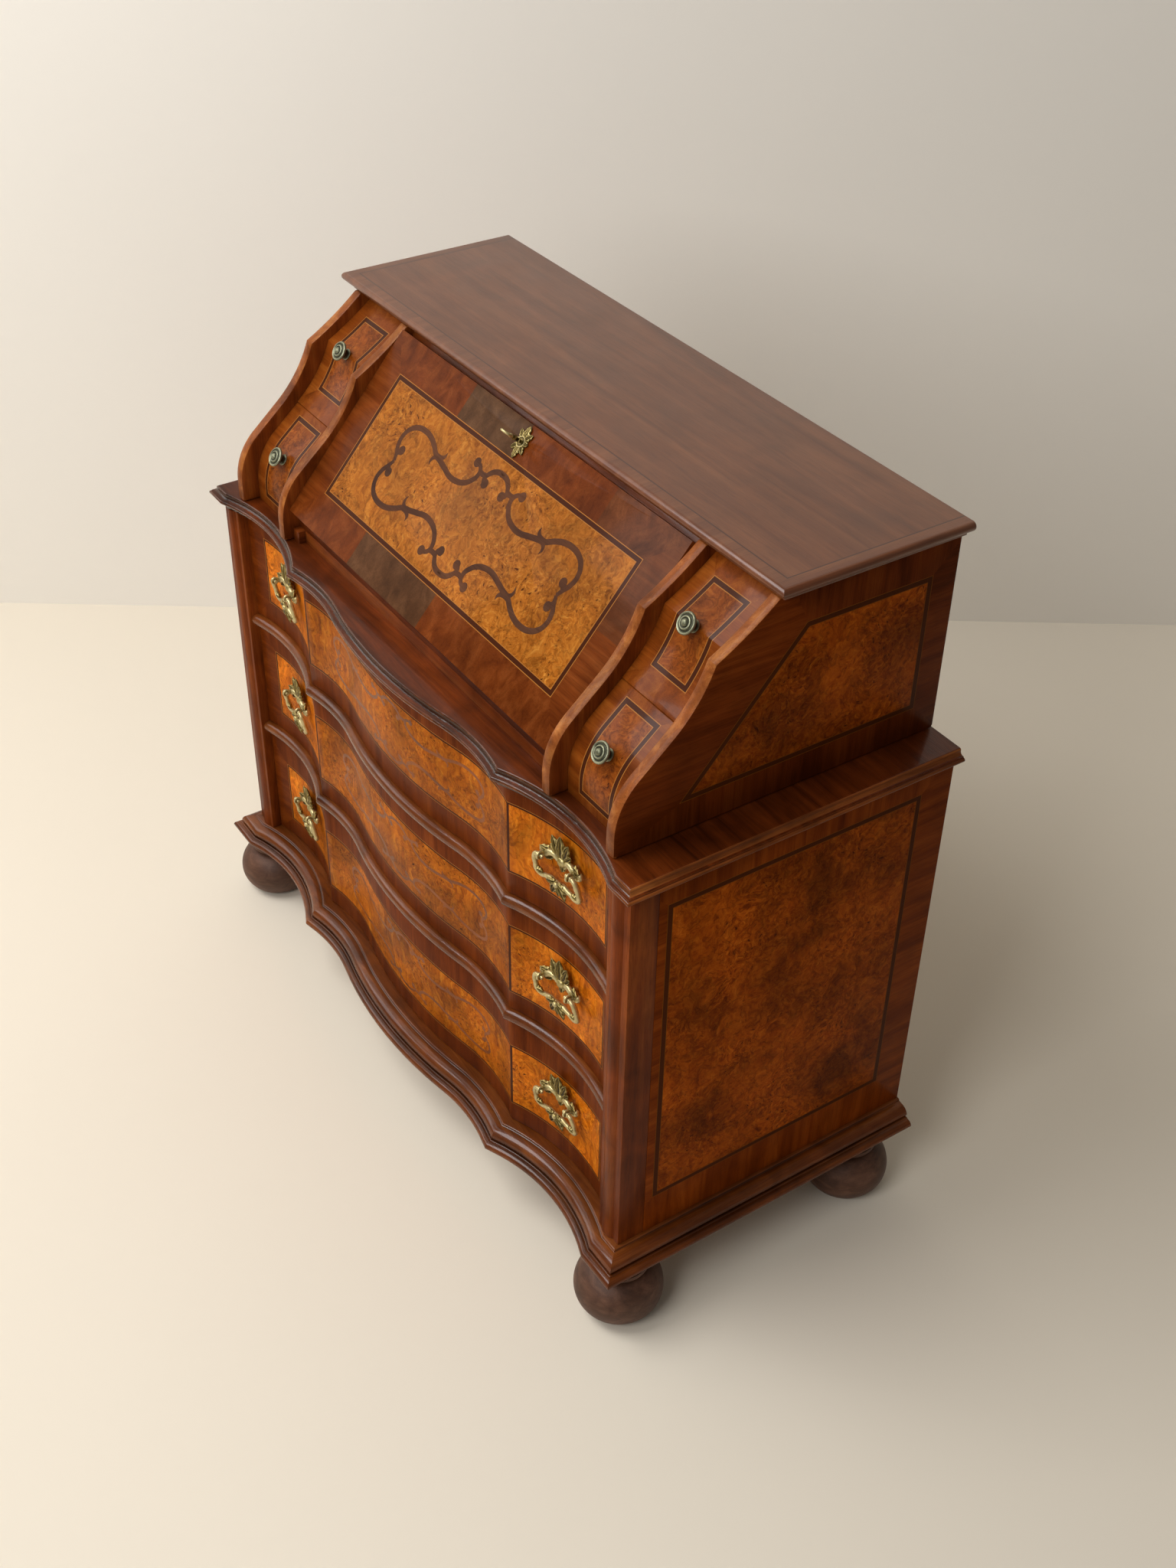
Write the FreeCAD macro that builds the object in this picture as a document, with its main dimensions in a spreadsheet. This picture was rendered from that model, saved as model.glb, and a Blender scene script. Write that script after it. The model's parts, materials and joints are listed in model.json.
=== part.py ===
import FreeCAD, Part
import math
import os

import Sketcher
from FreeCAD import Placement, Rotation, Vector

# Secretary commode: a serpentine chest of three drawers under a slope-front desk.
# Millimetres, +Z up, front towards -Y, origin on the floor under the middle of the piece.
# Depths are counted forward from the back, rises up from the chest top.
# Profiles are given in shares of the size that they belong to.

doc = FreeCAD.newDocument("secretary_commode")

# Driving dimensions
SIZES = {
    # serpentine front line of the chest, as depths at named half widths
    "bow_depth": 507,
    "waist_depth": 486,
    "waist_half": 205,
    "cusp_depth": 494,
    "cusp_half": 273,
    "hollow_depth": 465,
    "hollow_half": 392,
    "corner_depth": 485,
    "corner_half": 511,
    # chest
    "carcass_width": 1068,
    "side_thick": 18,
    "post_width": 44,
    "post_deep": 40,
    "post_setback": 4,
    "reed_margin": 7,
    "reed_width": 25,
    "reed_rise": 5,
    "back_thick": 8,
    "bottom_thick": 18,
    "foot_height": 93,
    "foot_radius": 61,
    "foot_collar": 41,
    "foot_inset": 14.5,
    "foot_back": 73,
    "foot_front": 467,
    "plinth_height": 45,
    "plinth_reach": 40,
    "rail_thick": 19,
    "runner_wide": 44,
    "runner_thick": 15,
    "mid_thick": 25,
    "mid_reach": 12,
    "mid_margin": 4,
    # large drawers
    "top_drawer_space": 178.5,
    "middle_drawer_space": 183.5,
    "bottom_drawer_space": 197,
    "face_setback": 11,
    "front_inner": 430,
    "drawer_gap": 1,
    "slide_gap": 0.5,
    "drawer_wall": 12,
    "drawer_floor": 8,
    "drawer_floor_rise": 6,
    "drawer_rim_drop": 30,
    "drawer_back_gap": 14,
    # pulls
    "pull_half": 366,
    "pull_rise": 20,
    "plate_gap": 0.3,
    "plate_thick": 4,
    "plate_half": 37,
    "crown_rise": 44,
    "eye_half": 27,
    "eye_reach": 19,
    "eye_radius": 5.5,
    "bail_wire": 2.9,
    "bail_clearance": 0.4,
    "bail_half": 37,
    "bail_drop": 30,
    "bail_lean": 11,
    "bail_shoulder": 6,
    "bail_corner": 10,
    "boss_radius": 11,
    "boss_rise": 6,
    "leaf_half": 15,
    "leaf_tall": 22,
    "leaf_thick": 7,
    # upper cabinet
    "cabinet_width": 980,
    "cabinet_height": 274,
    "cheek_thick": 18,
    "desk_half": 338,
    "top_width": 1015,
    "top_depth": 277,
    "top_thick": 22,
    "top_reach": 14,
    # S profile of the cheeks, as depths
    "foot_depth": 476,
    "belly_mid_depth": 468,
    "shoulder_depth": 446,
    "split_depth": 404,
    "neck_mid_depth": 371,
    "kink_depth": 348,
    "brow_mid_depth": 306,
    "brow_depth": 266,
    # small drawers
    "small_recess": 26,
    "small_front": 20,
    "small_gap": 0.75,
    "small_wall": 7,
    "small_floor": 5,
    "shelf_thick": 6,
    "knob_radius": 14,
    "knob_neck": 6,
    "knob_reach": 20,
    "knob_gap": 0.3,
    "knob_tilt": 35,
    "small_back_gap": 14,
    # writing flap
    "flap_foot_depth": 464.5,
    "flap_foot_rise": 48.5,
    "flap_head_depth": 272,
    "flap_head_gap": 2,
    "flap_thick": 18,
    "flap_gap": 0.7,
    "hinge_gap": 0.5,
    "hinge_half": 230,
    "hinge_long": 54,
    "hinge_leaf": 18,
    "hinge_leaf_thick": 2,
    "hinge_radius": 3,
    "hinge_pin": 1.4,
    "hinge_clearance": 0.35,
    "stop_lap": 28,
    "stop_deep": 24,
    "stop_gap": 0.4,
    "floor_thick": 18,
    "bearer_deep": 20,
    "lock_drop": 26,
    "lock_half": 15,
    "lock_rise": 24,
    "lock_thick": 2,
    "key_radius": 2.2,
    "key_clearance": 0.6,
    "key_depth": 12,
    "key_reach": 20,
    "key_bow": 8,
    "key_bow_wire": 1.7,
    # flap supports
    "loper_wide": 16,
    "loper_long": 330,
    "loper_ahead": 10,
    "loper_gap": 0.4,
}

sheet = doc.addObject("Spreadsheet::Sheet", "sizes")
for row, (alias, number) in enumerate(SIZES.items(), start=1):
    sheet.set(f"A{row}", alias)
    sheet.set(f"B{row}", str(number))
    sheet.setAlias(f"B{row}", alias)
doc.recompute()


class Size:
    """A length with its value and the sheet expression that it comes from."""

    def __init__(self, value, text):
        self.value = value
        self.text = text

    def __add__(self, other):
        return Size(self.value + other.value, f"({self.text} + {other.text})")

    def __sub__(self, other):
        return Size(self.value - other.value, f"({self.text} - {other.text})")

    def __mul__(self, factor):
        return Size(self.value * factor, f"({self.text} * {factor:.9f})")

    def __neg__(self):
        return Size(-self.value, f"(-1 * {self.text})")


def fixed(number):
    """A length that the script works out itself."""
    return Size(number, f"{number:.6f}")


def size(alias):
    return Size(float(sheet.get(alias)), f"sizes.{alias}")


ZERO = fixed(0)

# Heights and half widths worked out from the driving dimensions
carcass_half = size("carcass_width") * 0.5
inner_half = carcass_half - size("side_thick")
bay_half = carcass_half - size("post_width")
post_front = size("corner_depth") - size("post_setback")
post_back = post_front - size("post_deep")
plinth_top = size("foot_height") + size("plinth_height")
lower_rail = plinth_top + size("bottom_drawer_space")
middle_floor = lower_rail + size("rail_thick")
upper_rail = middle_floor + size("middle_drawer_space")
top_floor = upper_rail + size("rail_thick")
mid_bottom = top_floor + size("top_drawer_space")
mid_top = mid_bottom + size("mid_thick")
cabinet_top = mid_top + size("cabinet_height")
front_limit = size("bow_depth") + size("plinth_reach")
back_y = front_limit * 0.5
cabinet_half = size("cabinet_width") * 0.5
bay_outer = cabinet_half - size("cheek_thick")
bay_inner = size("desk_half") + size("cheek_thick")
small_middle = (bay_outer + bay_inner) * 0.5

nodes = []


def finish(piece, label):
    """Name a sub-part and list it for writing."""
    piece.Label = label
    nodes.append(piece)
    return piece


def place(piece, x=ZERO, y=back_y, z=ZERO, rotation=Rotation()):
    """Place a piece by sheet expressions, with its back plane on the back of the chest."""
    piece.Placement = Placement(Vector(x.value, y.value, z.value), rotation)
    for axis, length in zip("xyz", (x, y, z)):
        piece.setExpression(f"Placement.Base.{axis}", length.text)
    return piece


def board(name, x, depth, z):
    """A plain board between two x, two depths and two heights."""
    box = doc.addObject("Part::Box", name)
    box.setExpression("Length", (x[1] - x[0]).text)
    box.setExpression("Width", (depth[1] - depth[0]).text)
    box.setExpression("Height", (z[1] - z[0]).text)
    return place(box, x[0], back_y - depth[1], z[0])


def group(label, pieces):
    """One node that holds several solids."""
    compound = doc.addObject("Part::Compound", label)
    compound.Links = pieces
    return finish(compound, label)


def mirrored(piece, name):
    """The same piece on the other side of the middle plane."""
    copy = doc.addObject("Part::Mirroring", name)
    copy.Source = piece
    copy.Normal = Vector(1, 0, 0)
    return copy


def pair(piece, stem):
    """A left piece and its mirror image on the right, as two nodes."""
    finish(piece, f"{stem}_left")
    finish(mirrored(piece, f"{stem}_right"), f"{stem}_right")


def plane_of(body, role):
    return next(item for item in body.Origin.OriginFeatures if item.Role == role)


def new_sketch(body, name, role, offset=ZERO):
    """A sketch on one of the body's origin planes, moved along the plane's normal."""
    sketch = body.newObject("Sketcher::SketchObject", name)
    sketch.AttachmentSupport = (plane_of(body, role), [""])
    sketch.MapMode = "FlatFace"
    sketch.AttachmentOffset = Placement(Vector(0, 0, offset.value), Rotation())
    sketch.setExpression("AttachmentOffset.Base.z", offset.text)
    return sketch


def vector(point):
    return Vector(point[0].value, point[1].value, 0)


def pin_vertex(sketch, geometry, vertex, point):
    """Tie a sketch vertex to the sheet by its two coordinates."""
    for kind, length in zip(("DistanceX", "DistanceY"), point):
        index = sketch.addConstraint(Sketcher.Constraint(kind, -1, 1, geometry, vertex, length.value))
        sketch.setExpression(f"Constraints[{index}]", length.text)


def outline(sketch, start, steps, closed=True):
    """Draw lines (end,) and three-point arcs (through, end), with every point tied to the sheet."""
    here = start
    first = None
    previous = None
    for number, step in enumerate(steps):
        end = step[-1]
        if len(step) == 2:
            curve = Part.Arc(vector(here), vector(step[0]), vector(end))
        else:
            curve = Part.LineSegment(vector(here), vector(end))
        index = sketch.addGeometry(curve)
        to_tail = (sketch.getPoint(index, 1) - vector(here)).Length
        to_head = (sketch.getPoint(index, 2) - vector(here)).Length
        tail, head = (1, 2) if to_tail < to_head else (2, 1)
        if previous is None:
            first = (index, tail)
            pin_vertex(sketch, index, tail, here)
        else:
            sketch.addConstraint(Sketcher.Constraint("Coincident", *previous, index, tail))
        if closed and number == len(steps) - 1:
            sketch.addConstraint(Sketcher.Constraint("Coincident", index, head, *first))
        else:
            pin_vertex(sketch, index, head, end)
        if len(step) == 2:
            mark = sketch.addGeometry(Part.Point(vector(step[0])), True)
            pin_vertex(sketch, mark, 1, step[0])
            sketch.addConstraint(Sketcher.Constraint("PointOnObject", mark, 1, index))
        previous = (index, head)
        here = end
    return sketch


def rectangle(sketch, low, high):
    """A rectangle between two corners."""
    outline(sketch, low, [((high[0], low[1]),), (high,), ((low[0], high[1]),), (low,)])
    return sketch


def circle(sketch, centre, radius):
    """A circle with its centre and radius tied to the sheet."""
    index = sketch.addGeometry(Part.Circle(vector(centre), Vector(0, 0, 1), radius.value))
    pin_vertex(sketch, index, 3, centre)
    limit = sketch.addConstraint(Sketcher.Constraint("Radius", index, radius.value))
    sketch.setExpression(f"Constraints[{limit}]", radius.text)
    return sketch


def feature(body, kind, name, profile, **settings):
    """A sketch-based feature, with its lengths tied to the sheet."""
    made = body.newObject(f"PartDesign::{kind}", name)
    made.Profile = profile
    for key, setting in settings.items():
        if isinstance(setting, Size):
            made.setExpression(key, setting.text)
        else:
            setattr(made, key, setting)
    body.Tip = made
    return made


def flipped(start, steps):
    """The same run of lines and arcs on the other side of x = 0, walked backwards."""
    points = [start] + [step[-1] for step in steps]
    back = []
    for index in range(len(steps) - 1, -1, -1):
        through = [(-point[0], point[1]) for point in steps[index][:-1]]
        back.append((*through, (-points[index][0], points[index][1])))
    return back


# Serpentine front

# The bow turns into the waist at this share of the waist's half width.
BOW_SHARE = 0.7


def hollow_ring():
    """Circle of the hollow, in half widths and depths."""
    corner, hollow, cusp = (
        Vector(SIZES[f"{name}_half"], SIZES[f"{name}_depth"], 0) for name in ("corner", "hollow", "cusp")
    )
    return Part.Arc(corner, hollow, cusp).toShape().Curve


def hollow_depth_at(half):
    """Depth of the hollow at a half width."""
    ring = hollow_ring()
    return fixed(ring.Center.y - math.sqrt(ring.Radius**2 - (half.value - ring.Center.x) ** 2))


def front_line(setback, half, corners=False):
    """The serpentine from left to right, set back, with or without its straight corners."""
    def at(x, depth):
        return (-x, setback - depth)

    hollow = at(size("hollow_half"), size("hollow_depth"))
    cusp = at(size("cusp_half"), size("cusp_depth"))
    waist = at(size("waist_half"), size("waist_depth"))
    bow_rise = size("bow_depth") - size("waist_depth")
    turn = at(size("waist_half") * BOW_SHARE, size("waist_depth") + bow_rise * (1 - BOW_SHARE))
    bow = (ZERO, setback - size("bow_depth"))
    left = [(hollow, cusp), (waist, turn)]
    if corners:
        start = at(half, size("corner_depth"))
        left.insert(0, (at(size("corner_half"), size("corner_depth")),))
    else:
        start = at(half, hollow_depth_at(half))
    right_turn = (-turn[0], turn[1])
    return start, left + [(bow, right_turn)] + flipped(start, left)


# Moulded edges, walked from top to bottom as shares of their reach and their height

MID_EDGE = [
    ((0, 1),),
    ((0.18, 0.97), (0.25, 0.88)),
    ((0.25, 0.82),),
    ((0.42, 0.70), (0.75, 0.66)),
    ((0.75, 0.61),),
    ((1, 0.49), (0.75, 0.37)),
    ((0.5, 0.34),),
    ((0.22, 0.22), (0.12, 0)),
]
PLINTH_EDGE = [
    ((0.04, 1),),
    ((0.115, 0.955), (0.115, 0.88)),
    ((0.175, 0.855),),
    ((0.245, 0.72), (0.44, 0.655)),
    ((0.44, 0.62),),
    ((0.59, 0.535), (0.49, 0.435)),
    ((0.49, 0.41),),
    ((0.6, 0.41),),
    ((0.865, 0.345), (1, 0.155)),
    ((0.97, 0.05), (0.86, 0)),
]
TOP_EDGE = [
    ((0.55, 1),),
    ((1, 0.72), (0.55, 0.44)),
    ((0.38, 0.40),),
    ((0.18, 0.26), (0.1, 0)),
]
RAIL_EDGE = [
    ((0, 1),),
    ((1, 0.5), (0, 0)),
]
EDGE_ROOM = fixed(5)
FRONT_ROOM = fixed(60)


def edge_steps(edge, reach, height, base, bottom, side):
    """Points of a moulded edge on one side, from the top down."""
    def at(share):
        return ((base + reach * share[0]) * side, bottom + height * share[1])

    return at(edge[0][0]), [tuple(at(share) for share in step) for step in edge[1:]]


def edge_blank(name, edge, half, back, bottom, height, reach, moulded_ends):
    """A board longer than needed towards the front, with moulded or plain ends."""
    body = doc.addObject("PartDesign::Body", name)
    section = new_sketch(body, f"{name}_section", "XZ_Plane", back)
    if moulded_ends:
        start, left = edge_steps(edge, reach, height, half, bottom, -1)
        corner = (-left[-1][-1][0], left[-1][-1][1])
        outline(section, start, left + [(corner,)] + flipped(start, left) + [(start,)])
    else:
        rectangle(section, (-half, bottom), (half, bottom + height))
    feature(body, "Pad", f"{name}_blank", section, Length=front_limit + FRONT_ROOM - back)
    return body


def edge_cutter(body, name, edge, x, depth, bottom, height, reach):
    """Section of what a moulding leaves away in front of a depth."""
    cutter = new_sketch(body, f"{name}_cutter", "YZ_Plane", x)
    start, down = edge_steps(edge, reach, height, depth, bottom, -1)
    foot = down[-1][-1]
    top = bottom + height + EDGE_ROOM
    low = bottom - EDGE_ROOM
    far = -(front_limit + FRONT_ROOM + FRONT_ROOM)
    above = (start[0], top)
    around = [((foot[0], low),), ((far, low),), ((far, top),), (above,)]
    return outline(cutter, above, [(start,)] + down + around)


def moulded_board(name, edge, half, back, bottom, height, reach, front, moulded_ends=True):
    """A board whose moulding runs along its front line and, on demand, along both ends."""
    body = edge_blank(name, edge, half, back, bottom, height, reach, moulded_ends)
    path_start, path_steps = front
    path = outline(new_sketch(body, f"{name}_path", "XY_Plane"), path_start, path_steps, closed=False)
    cutter = edge_cutter(body, name, edge, path_start[0], -path_start[1], bottom, height, reach)
    feature(body, "SubtractivePipe", f"{name}_edge", cutter, Spine=(path, [""]), Mode="Fixed")
    return place(body)


# Chest


def post():
    """A front corner post with one vertical reed."""
    body = doc.addObject("PartDesign::Body", "post")
    sketch = new_sketch(body, "post_plan", "XY_Plane", plinth_top)
    reed_start = -(bay_half + size("reed_margin"))
    reed_end = reed_start - size("reed_width")
    reed_crest = ((reed_start + reed_end) * 0.5, -(post_front + size("reed_rise")))
    start = (-bay_half, -post_back)
    steps = [
        ((-bay_half, -post_front),),
        ((reed_start, -post_front),),
        (reed_crest, (reed_end, -post_front)),
        ((-carcass_half, -post_front),),
        ((-carcass_half, -post_back),),
        (start,),
    ]
    outline(sketch, start, steps)
    feature(body, "Pad", "post_length", sketch, Length=mid_bottom - plinth_top)
    return place(body)


def mitre(body, name, points):
    """Cut a body's corner away through its whole height."""
    sketch = new_sketch(body, name, "XY_Plane")
    outline(sketch, points[0], [(point,) for point in points[1:]] + [(points[0],)])
    feature(body, "Pocket", f"{name}_cut", sketch, Type="ThroughAll", Reversed=True)


def plinth():
    """Front and two returns of the plinth, mitred at the front corners."""
    reach = size("plinth_reach")
    room = reach + FRONT_ROOM
    corner = size("corner_depth")
    beyond = carcass_half + room
    sides = front_line(ZERO, beyond, corners=True)
    height = size("plinth_height")
    bottom = size("foot_height")
    front = moulded_board("plinth_front", PLINTH_EDGE, carcass_half, post_back, bottom, height, reach, sides)
    for side, name in ((-1, "left"), (1, "right")):
        points = [
            (carcass_half * side, -post_back + EDGE_ROOM),
            (carcass_half * side, -corner),
            (beyond * side, -(corner + room)),
            (beyond * side, -post_back + EDGE_ROOM),
        ]
        mitre(front, f"plinth_mitre_{name}", points)
    finish(front, "plinth_front")

    side_piece = doc.addObject("PartDesign::Body", "plinth_left")
    section = new_sketch(side_piece, "plinth_return_section", "XZ_Plane")
    start, down = edge_steps(PLINTH_EDGE, reach, height, carcass_half, bottom, -1)
    inner_low = (-carcass_half, bottom)
    outline(section, start, down + [(inner_low,), ((-carcass_half, plinth_top),), (start,)])
    feature(side_piece, "Pad", "plinth_return_blank", section, Length=corner + room)
    points = [
        (-carcass_half, -corner),
        (-beyond, -(corner + room)),
        (-beyond, -(corner + room + EDGE_ROOM)),
        (-carcass_half + EDGE_ROOM, -(corner + room + EDGE_ROOM)),
        (-carcass_half + EDGE_ROOM, -corner + EDGE_ROOM),
    ]
    mitre(side_piece, "plinth_return_mitre", points)
    pair(place(side_piece), "plinth")


def foot(name, x, depth):
    """A turned bun foot under its collar."""
    body = doc.addObject("PartDesign::Body", name)
    sketch = new_sketch(body, f"{name}_profile", "XZ_Plane")
    radius = size("foot_radius")
    collar = size("foot_collar")
    height = size("foot_height")
    neck = collar * 0.8
    steps = [
        ((radius * 0.62, ZERO),),
        ((radius, height * 0.42), (radius * 0.62, height * 0.84)),
        ((neck, height * 0.84),),
        ((neck, height * 0.89),),
        ((collar, height * 0.92),),
        ((collar, height),),
        ((ZERO, height),),
        ((ZERO, ZERO),),
    ]
    outline(sketch, (ZERO, ZERO), steps)
    feature(body, "Revolution", f"{name}_turned", sketch, ReferenceAxis=(sketch, ["V_Axis"]), Angle=360)
    return place(body, x, back_y - depth)


def chest():
    """Everything fixed below the chest top."""
    side_x = (-carcass_half, -inner_half)
    pair(board("side", side_x, (ZERO, post_back), (size("foot_height"), mid_bottom)), "side")
    pair(post(), "post")
    floor = plinth_top - size("bottom_thick")
    across = (-inner_half, inner_half)
    finish(board("carcass_back", across, (ZERO, size("back_thick")), (floor, mid_bottom)), "carcass_back")
    inside = (size("back_thick"), post_back)
    finish(board("bottom_board", across, inside, (floor, plinth_top)), "bottom_board")
    nose = size("rail_thick") * 0.5
    rails = [
        moulded_board(
            name, RAIL_EDGE, bay_half, size("front_inner"), z, size("rail_thick"), nose,
            front_line(nose, bay_half + EDGE_ROOM), moulded_ends=False,
        )
        for name, z in (("rail_low", lower_rail), ("rail_high", upper_rail))
    ]
    group("drawer_rails", rails)
    runners = []
    for name, top in (("runner_low", middle_floor), ("runner_high", top_floor)):
        x = (-inner_half, size("runner_wide") - inner_half)
        depth = (size("back_thick"), size("front_inner"))
        left = board(f"{name}_left", x, depth, (top - size("runner_thick"), top))
        runners += [left, mirrored(left, f"{name}_right")]
    group("drawer_runners", runners)
    plinth()
    foot_x = carcass_half - size("foot_inset")
    feet = []
    for name, depth in (("front", size("foot_front")), ("back", size("foot_back"))):
        for side, hand in ((-1, "left"), (1, "right")):
            feet.append(foot(f"foot_{name}_{hand}", foot_x * side, depth))
    group("bun_feet", feet)
    mid_half = carcass_half + size("mid_margin")
    sides = front_line(ZERO, mid_half + FRONT_ROOM, corners=True)
    mid = moulded_board(
        "mid_board", MID_EDGE, mid_half, ZERO, mid_bottom, size("mid_thick"), size("mid_reach"), sides
    )
    finish(mid, "mid_board")


# Large drawers

eye_axis = size("plate_thick") + size("eye_reach") - size("eye_radius")
hollow = hollow_ring()
pull_turn = math.asin((SIZES["pull_half"] - hollow.Center.x) / hollow.Radius)
# The flat plate bridges the hollow, so its middle stands off by the arc's rise.
plate_bridge = fixed(hollow.Radius - math.sqrt(hollow.Radius**2 - SIZES["plate_half"] ** 2))


def on_hollow(piece, out, z, lean=0):
    """Place a piece of a left pull square to the hollow of the drawer front, or leaning on it."""
    seat = hollow_depth_at(size("pull_half")) - size("face_setback")
    ahead = plate_bridge + size("plate_gap") + out
    x = ahead * math.sin(pull_turn) - size("pull_half")
    y = back_y - seat - ahead * math.cos(pull_turn)
    square = Rotation(Vector(0, 0, 1), math.degrees(pull_turn))
    return place(piece, x, y, z, square.multiply(Rotation(Vector(1, 0, 0), lean)))


def bail_pull(name, z):
    """Backplate with two eyes and a boss, standing on the hollow of a drawer front."""
    body = doc.addObject("PartDesign::Body", name)
    half = size("plate_half")
    crown = size("crown_rise")

    def at(across, up):
        return (half * across, crown * up)

    right = [
        (at(0.25, -0.26), at(0.40, -0.10)),
        (at(0.68, -0.24), at(0.97, -0.06)),
        (at(1, 0.16), at(0.76, 0.20)),
        (at(0.48, 0.17), at(0.30, 0.26)),
        (at(0.24, 0.42), at(0.44, 0.62)),
        (at(0.42, 0.82), at(0.22, 0.80)),
        (at(0.14, 0.97), at(0, 1)),
    ]
    start = at(0, -0.30)
    plan = outline(new_sketch(body, f"{name}_outline", "XZ_Plane"), start, right + flipped(start, right))
    feature(body, "Pad", f"{name}_plate", plan, Length=size("plate_thick"))
    eyes = new_sketch(body, f"{name}_eyes", "XZ_Plane")
    for side in (-1, 1):
        circle(eyes, (size("eye_half") * side, ZERO), size("eye_radius"))
    feature(body, "Pad", f"{name}_eye_posts", eyes, Length=size("plate_thick") + size("eye_reach"))
    bore = new_sketch(body, f"{name}_bore", "YZ_Plane")
    circle(bore, (-eye_axis, ZERO), size("bail_wire") + size("bail_clearance"))
    feature(body, "Pocket", f"{name}_bores", bore, Type="ThroughAll", Midplane=True)
    dome = new_sketch(body, f"{name}_dome", "XY_Plane")
    boss = size("boss_radius")
    base = -size("plate_thick")
    peak = base - size("boss_rise")
    dome_mid = (boss * 0.72, base - size("boss_rise") * 0.7)
    outline(dome, (ZERO, base), [((boss, base),), (dome_mid, (ZERO, peak)), ((ZERO, base),)])
    feature(body, "Revolution", f"{name}_boss", dome, ReferenceAxis=(dome, ["V_Axis"]), Angle=360)
    return on_hollow(body, ZERO, z)


def bail(name, z):
    """Swinging bail: wire between the eyes with a leaf hanging from its middle."""
    body = doc.addObject("PartDesign::Body", name)
    half = size("bail_half")
    drop = size("bail_drop")
    diagonal = math.sqrt(0.5)

    def bend(centre, radius, turn):
        return (centre[0] + radius * (diagonal * turn[0]), centre[1] + radius * (diagonal * turn[1]))

    shoulder = size("bail_shoulder")
    corner = size("bail_corner")
    start = (size("eye_radius") - size("eye_half"), ZERO)
    shoulder_centre = (shoulder - half, -shoulder)
    corner_centre = (corner - half, corner - drop)
    left = [
        ((shoulder - half, ZERO),),
        (bend(shoulder_centre, shoulder, (-1, 1)), (-half, -shoulder)),
        ((-half, corner - drop),),
        (bend(corner_centre, corner, (-1, -1)), (corner - half, -drop)),
    ]
    middle = [((half - corner, -drop),)]
    path = new_sketch(body, f"{name}_path", "XZ_Plane")
    outline(path, start, left + middle + flipped(start, left), closed=False)
    wire = circle(new_sketch(body, f"{name}_wire", "YZ_Plane", start[0]), (ZERO, ZERO), size("bail_wire"))
    feature(body, "AdditivePipe", f"{name}_loop", wire, Spine=(path, [""]))
    wide = size("leaf_half")
    tall = size("leaf_tall")

    def lobe(across, up):
        return (wide * across, tall * up - drop)

    leaf_right = [
        (lobe(0.12, -0.8), lobe(0.32, -0.7)),
        (lobe(0.4, -0.45), lobe(0.64, -0.5)),
        (lobe(0.7, -0.2), lobe(1, -0.06)),
        (lobe(0.75, 0.16), lobe(0.36, 0.17)),
        (lobe(0.2, 0.26), lobe(0, 0.27)),
    ]
    leaf_start = lobe(0, -1)
    leaf_steps = leaf_right + flipped(leaf_start, leaf_right)
    leaf_plan = outline(new_sketch(body, f"{name}_leaf_outline", "XZ_Plane"), leaf_start, leaf_steps)
    feature(body, "Pad", f"{name}_leaf", leaf_plan, Length=size("leaf_thick"), Midplane=True)
    return on_hollow(body, eye_axis, z, SIZES["bail_lean"])


def large_drawer(name, floor, space):
    """Serpentine front, box and bottom, and a pair of bail pulls."""
    half = bay_half - size("drawer_gap")
    gap = size("drawer_gap")
    slide = size("slide_gap")
    inner = size("front_inner")
    front = doc.addObject("PartDesign::Body", f"{name}_front")
    plan = new_sketch(front, f"{name}_plan", "XY_Plane", floor + gap)
    start, steps = front_line(size("face_setback"), half)
    outline(plan, start, steps + [((half, -inner),), ((-half, -inner),), (start,)])
    feature(front, "Pad", f"{name}_height", plan, Length=space - gap - gap)
    finish(place(front), f"{name}_front")

    wall = size("drawer_wall")
    back = size("drawer_back_gap")
    rim = (floor + slide, floor + space - size("drawer_rim_drop"))
    side = board(f"{name}_side_left", (-half, wall - half), (back, inner), rim)
    inside = (wall - half, half - wall)
    rear = board(f"{name}_rear", inside, (back, back + wall), rim)
    group(f"{name}_box", [side, mirrored(side, f"{name}_side_right"), rear])
    base = floor + slide + size("drawer_floor_rise")
    bottom = board(f"{name}_bottom", inside, (back + wall, inner), (base, base + size("drawer_floor")))
    finish(bottom, f"{name}_bottom")

    pull_z = floor + space * 0.5 + size("pull_rise")
    plate = bail_pull(f"{name}_plate_left", pull_z)
    group(f"{name}_pull_plates", [plate, mirrored(plate, f"{name}_plate_right")])
    pair(bail(f"{name}_bail_left", pull_z), f"{name}_bail")


# Upper cabinet


# Rises of the S profile's points, in shares of the cabinet's height
S_RISES = {
    "belly": 0.109,
    "belly_mid": 0.245,
    "shoulder": 0.358,
    "split": 0.493,
    "neck_mid": 0.628,
    "kink": 0.792,
    "brow_mid": 0.887,
}
# Place of the lower knobs along the belly's round
BELLY_SHARE = 0.742


def rise_of(name):
    """Height of a named point of the S profile."""
    return mid_top + size("cabinet_height") * S_RISES[name]


def cheek_run(shift, names):
    """Part of the S profile between two named points, moved back by a shift."""
    def at(name):
        return (shift - size(f"{name}_depth"), rise_of(name))

    runs = {
        "shoulder": [(at("belly_mid"), at("shoulder"))],
        "split": [(at("split"),)],
        "kink": [(at("neck_mid"), at("kink"))],
        "brow": [(at("brow_mid"), (shift - size("brow_depth"), cabinet_top))],
    }
    return [step for name in names for step in runs[name]]


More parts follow.
